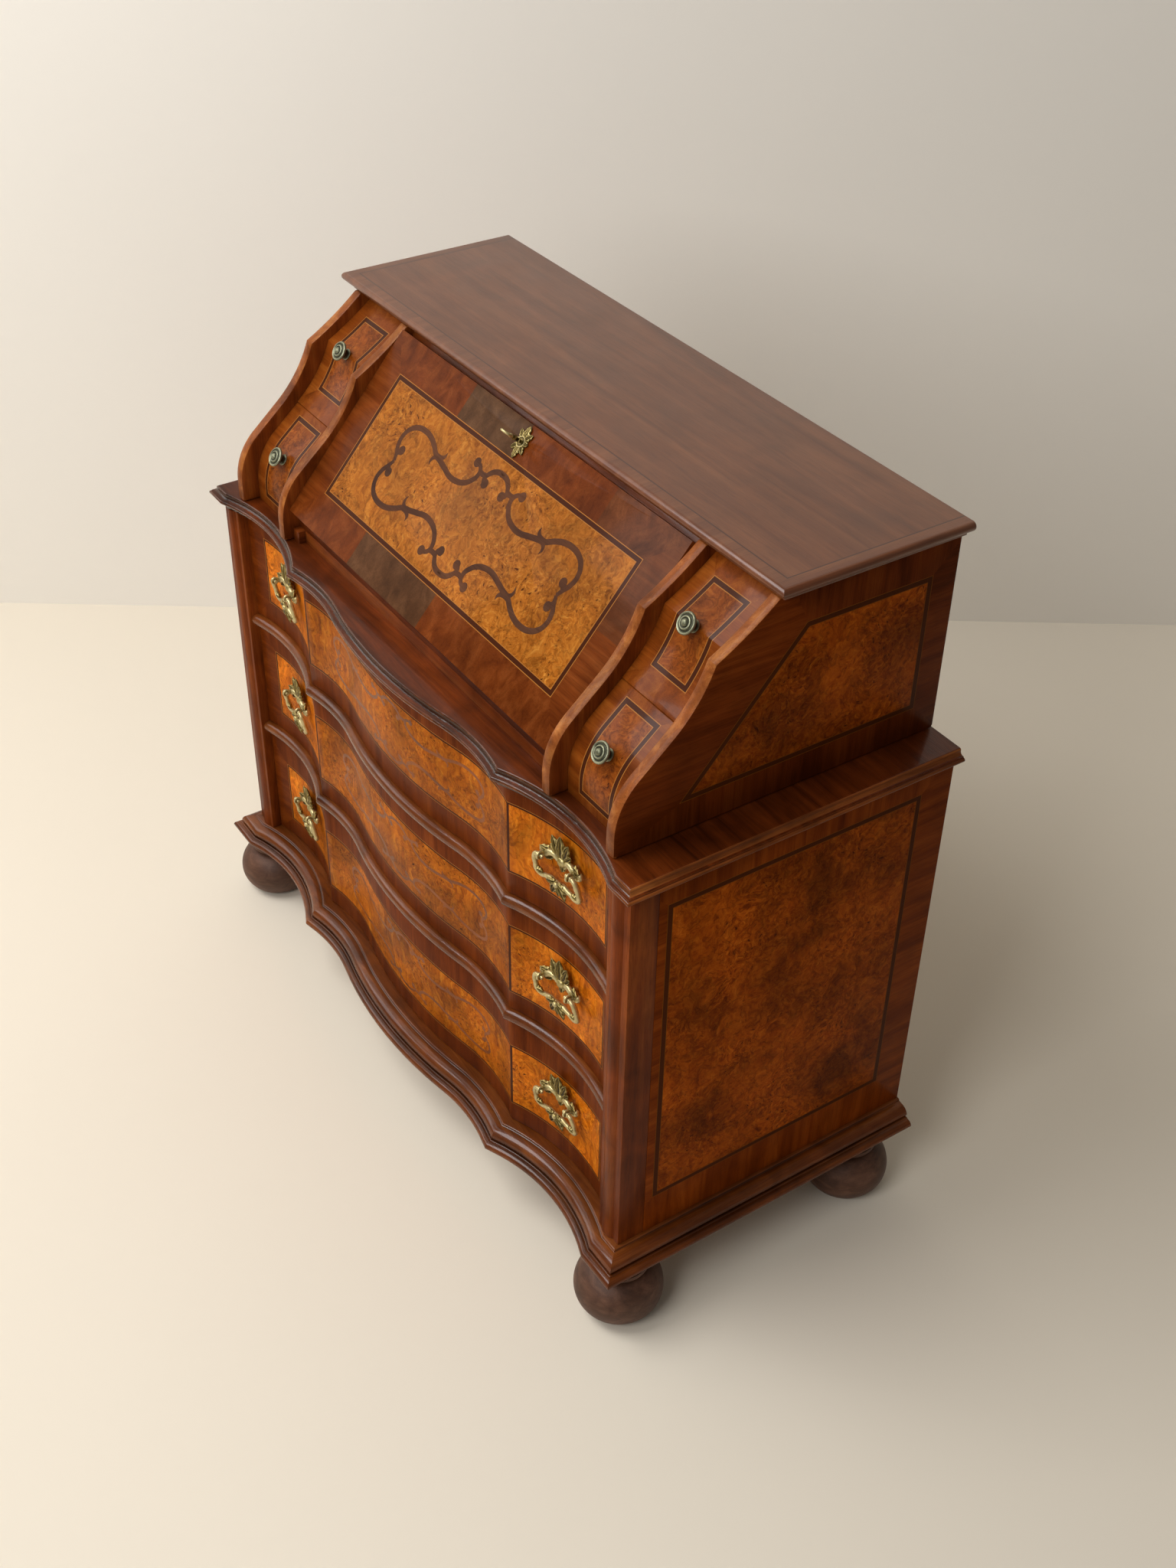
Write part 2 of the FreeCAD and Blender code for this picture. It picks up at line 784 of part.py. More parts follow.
def cheek(name, low_x, back):
    """An S-shaped upright of the upper cabinet."""
    body = doc.addObject("PartDesign::Body", name)
    sketch = new_sketch(body, f"{name}_profile", "YZ_Plane", low_x)
    start = (-size("foot_depth"), mid_top)
    belly = (-size("foot_depth"), rise_of("belly"))
    steps = [(belly,)] + cheek_run(ZERO, ["shoulder", "split", "kink", "brow"])
    outline(sketch, start, steps + [((-back, cabinet_top),), ((-back, mid_top),), (start,)])
    feature(body, "Pad", f"{name}_thickness", sketch, Length=size("cheek_thick"))
    return place(body)


def small_outline(steps, start, shift):
    """Closed section of a small drawer front: its face, and the same run moved back."""
    def moved(point):
        return (point[0] + shift, point[1])

    points = [start] + [step[-1] for step in steps]
    back = []
    for index in range(len(steps) - 1, -1, -1):
        back.append((*(moved(point) for point in steps[index][:-1]), moved(points[index])))
    return steps + [(moved(points[-1]),)] + back + [(start,)]


def small_drawer(name, upper):
    """A small drawer of the left bay: front, tray and knob, and the same on the right."""
    gap = size("small_gap")
    recess = size("small_recess")
    behind = recess + size("small_front")
    split = rise_of("split")
    outer = -(bay_outer - gap)
    inner = -(bay_inner + gap)
    if upper:
        floor = split + gap
        start_depth = size("split_depth")
        face = cheek_run(recess, ["kink", "brow"])
        face[-1] = (face[-1][0], (recess - size("brow_depth"), cabinet_top - gap))
        rim = cheek_run(behind, ["kink"])
        knob_seat = (recess - size("kink_depth"), rise_of("kink"))
        tilt = SIZES["knob_tilt"]
    else:
        floor = mid_top + gap
        start_depth = size("foot_depth")
        belly_z = rise_of("belly")
        face = [((recess - start_depth, belly_z),)] + cheek_run(recess, ["shoulder", "split"])
        face[-1] = ((recess - size("split_depth"), split - gap),)
        rim = [((behind - start_depth, belly_z),)] + cheek_run(behind, ["shoulder"])
        knob_seat, tilt = belly_seat(recess)

    front = doc.addObject("PartDesign::Body", f"{name}_front")
    start = (recess - start_depth, floor)
    section = new_sketch(front, f"{name}_section", "YZ_Plane", outer)
    outline(section, start, small_outline(face, start, size("small_front")))
    feature(front, "Pad", f"{name}_width", section, Length=inner - outer)
    pair(place(front), f"{name}_front")

    wall = size("small_wall")
    rear = size("small_back_gap")
    top = rim[-1][-1][1]
    tray = []
    for hand, low_x in (("outer", outer), ("inner", inner - wall)):
        side = doc.addObject("PartDesign::Body", f"{name}_{hand}_side")
        profile = new_sketch(side, f"{name}_{hand}_profile", "YZ_Plane", low_x)
        tray_start = (behind - start_depth, floor)
        outline(profile, tray_start, rim + [((-rear, top),), ((-rear, floor),), (tray_start,)])
        feature(side, "Pad", f"{name}_{hand}_thickness", profile, Length=wall)
        tray.append(place(side))
    across = (outer + wall, inner - wall)
    tray.append(board(f"{name}_rear", across, (rear, rear + wall), (floor, top)))
    base_front = start_depth - behind - size("small_floor") * 1.6
    base_top = floor + size("small_floor")
    tray.append(board(f"{name}_base", across, (rear + wall, base_front), (floor, base_top)))
    left_tray = doc.addObject("Part::Compound", f"{name}_tray_left")
    left_tray.Links = tray
    pair(left_tray, f"{name}_tray")
    pair(knob(f"{name}_knob", knob_seat, tilt), f"{name}_knob")


def belly_seat(shift):
    """Point on the belly's round that carries a knob, and how far the face looks up there."""
    low = Vector(-SIZES["foot_depth"], rise_of("belly").value, 0)
    middle = Vector(-SIZES["belly_mid_depth"], rise_of("belly_mid").value, 0)
    high = Vector(-SIZES["shoulder_depth"], rise_of("shoulder").value, 0)
    ring = Part.Arc(low, middle, high).toShape()
    at = ring.FirstParameter + (ring.LastParameter - ring.FirstParameter) * BELLY_SHARE
    point = ring.valueAt(at)
    along = ring.tangentAt(at)
    tilt = math.degrees(math.atan2(abs(along.x), abs(along.y)))
    return (shift + fixed(point.x), fixed(point.y)), tilt


def knob(name, seat, tilt):
    """A turned knob with rings on its face, square to the drawer front."""
    body = doc.addObject("PartDesign::Body", name)
    sketch = new_sketch(body, f"{name}_profile", "XZ_Plane")
    radius = size("knob_radius")
    reach = size("knob_reach")
    neck = size("knob_neck")
    gap = size("knob_gap")
    steps = [
        ((neck * 1.3, gap),),
        ((neck * 1.25, reach * 0.08),),
        ((neck * 0.9, reach * 0.16),),
        ((neck * 0.86, reach * 0.4),),
        ((neck, reach * 0.5),),
        ((radius * 0.94, reach * 0.6),),
        ((radius, reach * 0.68),),
        ((radius * 0.98, reach * 0.76),),
        ((radius * 0.88, reach * 0.82),),
        ((radius * 0.74, reach * 0.74),),
        ((radius * 0.62, reach * 0.86),),
        ((radius * 0.5, reach * 0.88),),
        ((radius * 0.38, reach * 0.82),),
        ((radius * 0.28, reach * 0.95),),
        ((radius * 0.1, reach),),
        ((ZERO, reach),),
        ((ZERO, gap),),
    ]
    outline(sketch, (ZERO, gap), steps)
    feature(body, "Revolution", f"{name}_turned", sketch, ReferenceAxis=(sketch, ["V_Axis"]), Angle=360)
    lean = Rotation(Vector(1, 0, 0), 90 - tilt)
    return place(body, -small_middle, back_y + seat[0], seat[1], lean)


def top_board():
    """Top with one moulding mitred round its front and both ends."""
    body = doc.addObject("PartDesign::Body", "top_board")
    reach = size("top_reach")
    thick = size("top_thick")
    half = size("top_width") * 0.5 - reach
    front = reach - size("top_depth")
    slab = rectangle(new_sketch(body, "top_plan", "XY_Plane", cabinet_top), (-half, front), (half, ZERO))
    feature(body, "Pad", "top_slab", slab, Length=thick)
    path = new_sketch(body, "top_path", "XY_Plane", cabinet_top)
    outline(path, (-half, ZERO), [((-half, front),), ((half, front),), ((half, ZERO),)], closed=False)
    section = new_sketch(body, "top_section", "XZ_Plane")
    start, down = edge_steps(TOP_EDGE, reach, thick, half, cabinet_top, -1)
    inner = [((-half, cabinet_top),), ((-half, cabinet_top + thick),), (start,)]
    outline(section, start, down + inner)
    feature(body, "AdditivePipe", "top_edge", section, Spine=(path, [""]), Transition="Right corner")
    return place(body)


def cabinet():
    """Uprights, back, top and shelves of the upper cabinet."""
    pair(cheek("upper_side", -cabinet_half, ZERO), "upper_side")
    pair(cheek("inner_cheek", -bay_inner, size("back_thick")), "inner_cheek")
    across = (-bay_outer, bay_outer)
    finish(board("upper_back", across, (ZERO, size("back_thick")), (mid_top, cabinet_top)), "upper_back")
    split = rise_of("split")
    shelf_front = size("split_depth") - size("small_recess") - size("small_front") - size("drawer_gap")
    shelf_z = (split - size("shelf_thick"), split)
    shelf = board("shelf", (-bay_outer, -bay_inner), (size("back_thick"), shelf_front), shelf_z)
    group("drawer_shelves", [shelf, mirrored(shelf, "shelf_right")])
    finish(top_board(), "top_board")


# Writing flap

flap_rise = size("cabinet_height") - size("flap_head_gap") - size("flap_foot_rise")
flap_run = size("flap_foot_depth") - size("flap_head_depth")
slope = math.atan2(flap_rise.value, flap_run.value)
flap_long = flap_rise * (1 / math.sin(slope))
# The hinge pins lie on the inner lower edge of the flap.
axis_depth = size("flap_foot_depth") - size("flap_thick") * math.sin(slope)
axis_z = mid_top + size("flap_foot_rise") - size("flap_thick") * math.cos(slope)
floor_front = axis_depth - size("hinge_gap")
floor_bottom = axis_z - size("floor_thick")
flap_lean = Rotation(Vector(1, 0, 0), math.degrees(slope))
knuckle_room = size("hinge_radius") + size("hinge_clearance")
leaf_end = knuckle_room + size("hinge_leaf")
hinge_span = size("hinge_long") * 0.5


def on_flap(piece, x=ZERO, along=ZERO, out=ZERO):
    """Place a piece in the flap's own frame: x across, y up the slope, z out of its face."""
    y = back_y - axis_depth + along * math.cos(slope) - out * math.sin(slope)
    z = axis_z + along * math.sin(slope) + out * math.cos(slope)
    return place(piece, x, y, z, flap_lean)


def flap():
    """The sloping leaf, with seats for its hinges and a hole for the key."""
    body = doc.addObject("PartDesign::Body", "flap")
    half = size("desk_half") - size("flap_gap")
    face = rectangle(new_sketch(body, "flap_face", "XY_Plane"), (-half, ZERO), (half, flap_long))
    feature(body, "Pad", "flap_leaf", face, Length=size("flap_thick"))
    seats = new_sketch(body, "flap_hinge_seats", "XY_Plane")
    notches = new_sketch(body, "flap_knuckle_notches", "XY_Plane")
    room = hinge_span + size("hinge_clearance")
    for side in (-1, 1):
        middle = size("hinge_half") * side
        rectangle(seats, (middle - room, -EDGE_ROOM), (middle + room, leaf_end))
        rectangle(notches, (middle - room, -EDGE_ROOM), (middle + room, knuckle_room))
    feature(body, "Pocket", "flap_seats", seats, Length=size("hinge_leaf_thick"), Reversed=True)
    feature(body, "Pocket", "flap_notches", notches, Length=knuckle_room, Reversed=True)
    keyhole = new_sketch(body, "flap_keyhole", "XY_Plane", size("flap_thick"))
    circle(keyhole, (ZERO, flap_long - size("lock_drop")), size("key_radius") + size("key_clearance"))
    feature(body, "Pocket", "flap_key_hole", keyhole, Length=size("key_depth") + size("key_clearance"))
    return on_flap(body)


def hinge_leaf(name, fixed_leaf):
    """One leaf of a butt hinge about the x axis: the fixed one carries the pin, the other has bores."""
    body = doc.addObject("PartDesign::Body", name)
    thick = size("hinge_leaf_thick")
    base = -thick if fixed_leaf else ZERO
    third = size("hinge_long") * (1 / 6)
    gap = size("hinge_clearance")
    plate = new_sketch(body, f"{name}_plate", "XY_Plane", base)
    rectangle(plate, (-hinge_span, knuckle_room), (hinge_span, leaf_end))
    feature(body, "Pad", f"{name}_leaf", plate, Length=thick)
    if fixed_leaf:
        spans = [(-third, third)]
    else:
        spans = [(-hinge_span, -third - gap), (third + gap, hinge_span)]
    tongues = new_sketch(body, f"{name}_tongues", "XY_Plane", base)
    for low, high in spans:
        rectangle(tongues, (low, ZERO), (high, knuckle_room))
    feature(body, "Pad", f"{name}_tongue", tongues, Length=thick)
    for number, (low, high) in enumerate(spans):
        ring = new_sketch(body, f"{name}_ring{number}", "YZ_Plane", low)
        circle(ring, (ZERO, ZERO), size("hinge_radius"))
        feature(body, "Pad", f"{name}_knuckle{number}", ring, Length=high - low)
    pin = new_sketch(body, f"{name}_pin", "YZ_Plane", -hinge_span)
    if fixed_leaf:
        circle(pin, (ZERO, ZERO), size("hinge_pin"))
        feature(body, "Pad", f"{name}_pin_rod", pin, Length=size("hinge_long"))
    else:
        circle(pin, (ZERO, ZERO), size("hinge_pin") + gap)
        feature(body, "Pocket", f"{name}_bore", pin, Length=size("hinge_long"), Reversed=True)
    return body


def desk_floor():
    """Floor of the desk with seats for the fixed hinge leaves."""
    half = size("desk_half")
    plain = board("floor_blank", (-half, half), (size("back_thick"), floor_front), (floor_bottom, axis_z))
    room = hinge_span + size("hinge_clearance")
    above = axis_z + EDGE_ROOM
    ahead = axis_depth + EDGE_ROOM
    seats = []
    for side, hand in ((-1, "left"), (1, "right")):
        middle = size("hinge_half") * side
        across = (middle - room, middle + room)
        leaf_bed = (axis_z - size("hinge_leaf_thick"), above)
        seats.append(board(f"leaf_seat_{hand}", across, (axis_depth - leaf_end, ahead), leaf_bed))
        knuckle_bed = (axis_z - knuckle_room, above)
        seats.append(board(f"knuckle_seat_{hand}", across, (axis_depth - knuckle_room, ahead), knuckle_bed))
    cutters = doc.addObject("Part::MultiFuse", "floor_seats")
    cutters.Shapes = seats
    floor = doc.addObject("Part::Cut", "desk_floor")
    floor.Base = plain
    floor.Tool = cutters
    finish(floor, "desk_floor")


def stop_rail():
    """Rail under the top board that the head of the flap closes against."""
    body = doc.addObject("PartDesign::Body", "flap_stop_rail")
    half = size("desk_half")
    sketch = new_sketch(body, "stop_section", "YZ_Plane", -half)
    lean = 1 / math.tan(slope)
    low_z = cabinet_top - size("stop_lap")
    low_y = (low_z - axis_z) * lean - axis_depth + size("stop_gap")
    high_y = (cabinet_top - axis_z) * lean - axis_depth + size("stop_gap")
    back = high_y + size("stop_deep")
    start = (low_y, low_z)
    outline(sketch, start, [((high_y, cabinet_top),), ((back, cabinet_top),), ((back, low_z),), (start,)])
    feature(body, "Pad", "stop_length", sketch, Length=half + half)
    finish(place(body), "flap_stop_rail")


def escutcheon():
    """Shaped lock plate round the keyhole."""
    body = doc.addObject("PartDesign::Body", "escutcheon")
    half = size("lock_half")
    rise = size("lock_rise")

    def at(across, up):
        return (half * across, rise * up)

    right = [
        (at(0.42, -0.82), at(0.45, -0.55)),
        (at(0.95, -0.42), at(0.75, 0)),
        (at(1, 0.38), at(0.55, 0.52)),
        (at(0.5, 0.86), at(0, 1)),
    ]
    start = at(0, -1)
    sketch = outline(new_sketch(body, "lock_outline", "XY_Plane"), start, right + flipped(start, right))
    feature(body, "Pad", "lock_plate", sketch, Length=size("lock_thick"))
    hole = new_sketch(body, "lock_hole", "XY_Plane")
    circle(hole, (ZERO, ZERO), size("key_radius") + size("key_clearance"))
    feature(body, "Pocket", "lock_keyhole", hole, Type="ThroughAll", Reversed=True)
    return on_flap(body, ZERO, flap_long - size("lock_drop"), size("flap_thick"))


def key():
    """Key with a round bow, standing out of the lock."""
    body = doc.addObject("PartDesign::Body", "key")
    bow = size("key_bow")
    wire = size("key_bow_wire")
    shank = new_sketch(body, "key_section", "XY_Plane", -size("key_depth"))
    circle(shank, (ZERO, ZERO), size("key_radius"))
    feature(body, "Pad", "key_shank", shank, Length=size("key_depth") + size("key_reach"))
    ring = body.newObject("PartDesign::AdditiveTorus", "key_bow")
    ring.setExpression("Radius1", bow.text)
    ring.setExpression("Radius2", wire.text)
    ring.Placement = Placement(Vector(0, 0, (size("key_reach") + bow).value), Rotation(Vector(1, 0, 0), 90))
    body.Tip = ring
    return on_flap(body, ZERO, flap_long - size("lock_drop"), size("flap_thick") + size("lock_thick"))


def desk():
    """Floor, flap and what goes with them."""
    desk_floor()
    clear = size("desk_half") - size("loper_wide") - size("loper_gap") - size("loper_gap")
    bearer = (floor_front - size("bearer_deep"), floor_front)
    finish(board("desk_bearer", (-clear, clear), bearer, (mid_top, floor_bottom)), "desk_bearer")
    stop_rail()
    finish(flap(), "flap")
    floor_leaf = place(hinge_leaf("floor_leaf", True), -size("hinge_half"), back_y - axis_depth, axis_z)
    group("hinge_floor_leaves", [floor_leaf, mirrored(floor_leaf, "floor_leaf_right")])
    flap_leaf = on_flap(hinge_leaf("flap_leaf", False), -size("hinge_half"))
    group("hinge_flap_leaves", [flap_leaf, mirrored(flap_leaf, "flap_leaf_right")])
    finish(escutcheon(), "escutcheon")
    finish(key(), "key")
    gap = size("loper_gap")
    outer = gap - size("desk_half")
    end = axis_depth + size("loper_ahead")
    loper_x = (outer, outer + size("loper_wide"))
    loper_z = (mid_top + gap, floor_bottom - gap)
    pair(board("loper", loper_x, (end - size("loper_long"), end), loper_z), "loper")


chest()
large_drawer("top_drawer", top_floor, size("top_drawer_space"))
large_drawer("middle_drawer", middle_floor, size("middle_drawer_space"))
large_drawer("bottom_drawer", plinth_top, size("bottom_drawer_space"))
cabinet()
small_drawer("small_upper", upper=True)
small_drawer("small_lower", upper=False)
desk()

doc.recompute()
for item in doc.Objects:
    if "Invalid" in item.State or "Error" in item.State:
        raise RuntimeError(f"{item.Label} did not build: {item.State}")
for node in nodes:
    if node.Shape.isNull() or not node.Shape.isValid():
        raise RuntimeError(f"{node.Label} has no valid shape")

os.makedirs("parts", exist_ok=True)
for node in nodes:
    node.Shape.exportStep(f"parts/{node.Label}.step")
print(len(nodes), "sub-parts written")
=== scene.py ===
import json
import math

import bpy
from mathutils import Matrix, Vector

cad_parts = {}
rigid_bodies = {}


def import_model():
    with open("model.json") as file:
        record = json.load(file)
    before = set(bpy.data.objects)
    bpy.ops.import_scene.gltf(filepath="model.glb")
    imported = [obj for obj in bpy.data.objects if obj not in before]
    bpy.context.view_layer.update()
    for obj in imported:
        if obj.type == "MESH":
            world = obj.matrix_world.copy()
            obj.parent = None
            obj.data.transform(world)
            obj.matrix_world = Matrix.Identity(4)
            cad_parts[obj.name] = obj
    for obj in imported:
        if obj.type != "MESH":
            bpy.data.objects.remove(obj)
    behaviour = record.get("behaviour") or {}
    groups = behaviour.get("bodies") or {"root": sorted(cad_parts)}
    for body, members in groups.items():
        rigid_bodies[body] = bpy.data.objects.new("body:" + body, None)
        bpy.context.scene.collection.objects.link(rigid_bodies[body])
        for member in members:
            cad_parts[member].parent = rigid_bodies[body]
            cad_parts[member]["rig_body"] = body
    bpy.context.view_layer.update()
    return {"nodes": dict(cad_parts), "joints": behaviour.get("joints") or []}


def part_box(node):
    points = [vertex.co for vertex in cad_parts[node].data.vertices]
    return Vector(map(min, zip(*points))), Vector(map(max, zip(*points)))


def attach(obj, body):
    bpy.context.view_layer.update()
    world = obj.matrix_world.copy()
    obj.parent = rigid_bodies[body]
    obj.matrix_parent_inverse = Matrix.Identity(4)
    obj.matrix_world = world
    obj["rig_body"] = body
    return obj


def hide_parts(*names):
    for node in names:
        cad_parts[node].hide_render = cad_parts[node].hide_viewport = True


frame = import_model()
nodes = frame["nodes"]
joints = {joint["name"]: joint for joint in frame["joints"]}

MM = 0.001
BACK_Y = 273.5
LARGE_DRAWERS = ("top_drawer", "middle_drawer", "bottom_drawer")
SIDES = ("left", "right")
# Points of a piece that lie nearer than this are one point, a little more on a CAD node's triangles.
SAME_POINT = 0.005 * MM
SAME_CAD_POINT = 0.01 * MM
FLAT_ANGLE = math.radians(0.1)


# Handling of pieces


def pick(*pieces):
    """Select these pieces alone, the first of them active."""
    bpy.ops.object.select_all(action="DESELECT")
    for piece in pieces:
        piece.select_set(True)
    bpy.context.view_layer.objects.active = pieces[0]
    return pieces[0]


def open_mesh(piece):
    """Open a piece in edit mode with all of it selected."""
    pick(piece)
    bpy.ops.object.mode_set(mode="EDIT")
    bpy.ops.mesh.select_all(action="SELECT")


def close_mesh():
    """Leave edit mode."""
    bpy.ops.object.mode_set(mode="OBJECT")


def clean(piece):
    """Merge a piece's doubles and turn its faces outwards."""
    open_mesh(piece)
    bpy.ops.mesh.remove_doubles(threshold=SAME_POINT)
    bpy.ops.mesh.normals_make_consistent(inside=False)
    close_mesh()
    return piece


def join(pieces):
    """Make one piece of several."""
    joined = pick(*pieces)
    bpy.ops.object.join()
    return joined


def moved(piece, matrix):
    """Turn and shift a piece, and put its place into its mesh."""
    pick(piece)
    piece.matrix_world = matrix @ piece.matrix_world
    bpy.ops.object.transform_apply(location=True, rotation=True, scale=True)
    return piece


def copied(piece, matrix):
    """A copy of a piece with its own mesh, turned and shifted."""
    pick(piece)
    bpy.ops.object.duplicate()
    return clean(moved(bpy.context.object, matrix))


def soften(piece, width, angle=40):
    """Round the sharp edges of a piece by a bevel of a width in millimetres."""
    pick(piece)
    bpy.ops.object.modifier_add(type="BEVEL")
    bevel = piece.modifiers[-1]
    bevel.width = width * MM
    bevel.segments = 2
    bevel.limit_method = "ANGLE"
    bevel.angle_limit = math.radians(angle)
    bpy.ops.object.modifier_apply(modifier=bevel.name)
    return piece


def smooth(piece, angle=35):
    """Shade a piece smoothly, apart from its edges that are sharper than an angle."""
    pick(piece)
    bpy.ops.object.shade_smooth_by_angle(angle=math.radians(angle))
    return piece


def settle(piece, name, body, finish, slot, *replaced):
    """Give a finished piece its name, finish and body, in place of its CAD nodes."""
    piece.name = name
    piece.data.name = name
    piece.data.materials.clear()
    piece.data.materials.append(finish)
    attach(piece, body)
    if replaced:
        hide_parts(*replaced)
    return piece


def faced(piece, finish, test):
    """Give another finish to the faces that a test picks by normal and middle."""
    piece.data.materials.append(finish)
    place = len(piece.data.materials) - 1
    for face in piece.data.polygons:
        if test(face.normal, face.center):
            face.material_index = place
    return piece


def merged(node):
    """A copy of a CAD node with merged triangles."""
    piece = bpy.data.objects.new(node, nodes[node].data.copy())
    bpy.context.collection.objects.link(piece)
    open_mesh(piece)
    bpy.ops.mesh.customdata_custom_splitnormals_clear()
    bpy.ops.mesh.remove_doubles(threshold=SAME_CAD_POINT)
    close_mesh()
    return piece


def eased(node, finish, slot, width=0.8):
    """A copy of a CAD node with plain faces and softened edges, in the node's place."""
    piece = merged(node)
    open_mesh(piece)
    bpy.ops.mesh.dissolve_limited(angle_limit=FLAT_ANGLE)
    close_mesh()
    smooth(soften(piece, width))
    return settle(piece, f"{node}_eased", nodes[node]["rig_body"], finish, slot, node)


def crested(piece):
    """Note on each point of a piece how far it stands out, for the tarnish in the hollows of brass and
    the painted shade with dirt in the grooves of mouldings.
    """
    pick(piece)
    crest = piece.data.color_attributes.new("crest", "FLOAT_COLOR", "POINT")
    for point in crest.data:
        point.color = (1, 1, 1, 1)
    bpy.ops.paint.vertex_color_dirt(
        blur_strength=1.0, blur_iterations=1, dirt_angle=0.8, clean_angle=1.7, normalize=False
    )
    return piece


def shadowed(piece):
    """Note on each point of a moulding how open it lies, for painted shade with dirt in its grooves."""
    bpy.context.view_layer.update()
    reach = 22 * MM
    off = 0.4 * MM
    turns = 8
    lifts = (0.35, 0.8)
    around = [(2 * math.pi * turn / turns, lift) for turn in range(turns) for lift in lifts]
    crest = piece.data.color_attributes.new("crest", "FLOAT_COLOR", "POINT")
    starts = [(point.co.copy(), point.normal.copy()) for point in piece.data.vertices]
    for note, (at, normal) in zip(crest.data, starts):
        across = normal.orthogonal()
        beside = normal.cross(across)
        blocked = 0
        for turn, lift in around:
            ray = across * math.cos(turn) + beside * math.sin(turn) + normal * lift
            blocked += piece.ray_cast(at + normal * off, ray, distance=reach)[0]
        free = 1 - blocked / len(around)
        note.color = (free, free, free, 1)
    return piece


# Finishes


def linear(code):
    """An sRGB hex colour as linear red, green, blue and alpha."""
    channels = [int(code[i : i + 2], 16) / 255 for i in (1, 3, 5)]
    return [c / 12.92 if c <= 0.04045 else ((c + 0.055) / 1.055) ** 2.4 for c in channels] + [1]


def add(tree, kind, inputs=None, stops=None, **settings):
    """Add a shader node with its settings, colour stops and linked or plain inputs."""
    made = tree.nodes.new(f"ShaderNode{kind}")
    for name, value in settings.items():
        setattr(made, name, value)
    for socket, value in (inputs or {}).items():
        if isinstance(value, bpy.types.NodeSocket):
            tree.links.new(value, made.inputs[socket])
        else:
            made.inputs[socket].default_value = value
    if stops:
        ramp = made.color_ramp
        while len(ramp.elements) < len(stops):
            ramp.elements.new(0.5)
        for element, (position, code) in zip(ramp.elements, stops):
            element.position = position
            element.color = linear(code)
    return made


def new_finish(name):
    """An empty material with the place of each point of the piece to work from."""
    finish = bpy.data.materials.new(name)
    finish.use_nodes = True
    tree = finish.node_tree
    tree.nodes.clear()
    place = add(tree, "TexCoord").outputs["Object"]
    return finish, tree, place


# Sockets of a Mix node for its share and its two colours.
SHARE = 0
FIRST = 6
SECOND = 7


def shaded(tree, colour, value, low, high, start=0.0, end=1.0):
    """A colour times a shade from low to high, as a pattern's value goes from start to end."""
    reach = {"Value": value, "From Min": start, "From Max": end, "To Min": low, "To Max": high}
    shade = add(tree, "MapRange", reach).outputs[0]
    grey = add(tree, "CombineColor", {0: shade, 1: shade, 2: shade}).outputs[0]
    colours = {SHARE: 1.0, FIRST: colour, SECOND: grey}
    return add(tree, "Mix", colours, data_type="RGBA", blend_type="MULTIPLY").outputs[2]


def polish(tree, colour, height, rough, relief, gloss=0.2, coat=0.0, metal=0.0):
    """The surface itself: colour, gloss, thin coat and fine relief."""
    bump = add(tree, "Bump", {"Height": height, "Strength": relief, "Distance": 0.3 * MM})
    surface = add(
        tree,
        "BsdfPrincipled",
        {
            "Base Color": colour,
            "Roughness": rough,
            "Metallic": metal,
            "Specular IOR Level": gloss,
            "Coat Weight": coat,
            "Coat Roughness": 0.1,
            "Normal": bump.outputs[0],
        },
    )
    add(tree, "OutputMaterial", {"Surface": surface.outputs[0]})


# Walnut streaks are about 22 mm broad and 400 mm long along the grain.
STREAK = 45
ALONG = 2.5
GRAIN = {
    "x": (ALONG, STREAK, STREAK),
    "y": (STREAK, ALONG, STREAK),
    "z": (STREAK, STREAK, ALONG),
}
WALNUT = ((0.25, "#471b06"), (0.5, "#6e310e"), (0.75, "#8a481a"))
MOULDING = ((0.25, "#421c08"), (0.5, "#643110"), (0.75, "#80471e"))
BAND = ((0.25, "#471a04"), (0.5, "#652b09"), (0.75, "#7f3d12"))
SIDE_BAND = ((0.25, "#521e04"), (0.5, "#773408"), (0.75, "#944915"))
DARK_BAND = ((0.25, "#441904"), (0.5, "#622909"), (0.75, "#7b3b12"))
FLAP_BAND = ((0.25, "#471b04"), (0.5, "#642d0c"), (0.75, "#7b3f18"))
SMALL_BAND = ((0.25, "#542306"), (0.5, "#78390d"), (0.75, "#935019"))
GREY_BAND = ((0.25, "#3b2413"), (0.5, "#50341f"), (0.75, "#62432b"))
STRAP = ((0.25, "#3d1f0d"), (0.5, "#4e2b15"), (0.75, "#5d3820"))
FAINT_STRAP = ((0.25, "#6a330a"), (0.5, "#7d3f0e"), (0.75, "#8d4c16"))
EDGE = ((0.25, "#5c2b0e"), (0.5, "#87491e"), (0.75, "#b07038"))
TOP = ((0.25, "#532810"), (0.5, "#67381c"), (0.75, "#784728"))
LEDGE = ((0.25, "#2c0f03"), (0.5, "#542207"), (0.75, "#743410"))
# Least and greatest shade of the clouds in each wood.
PLAIN_CLOUDS = (0.62, 1.25)
BORDER_CLOUDS = (0.78, 1.14)
TOP_CLOUDS = (0.88, 1.1)
PINE_CLOUDS = (0.85, 1.1)


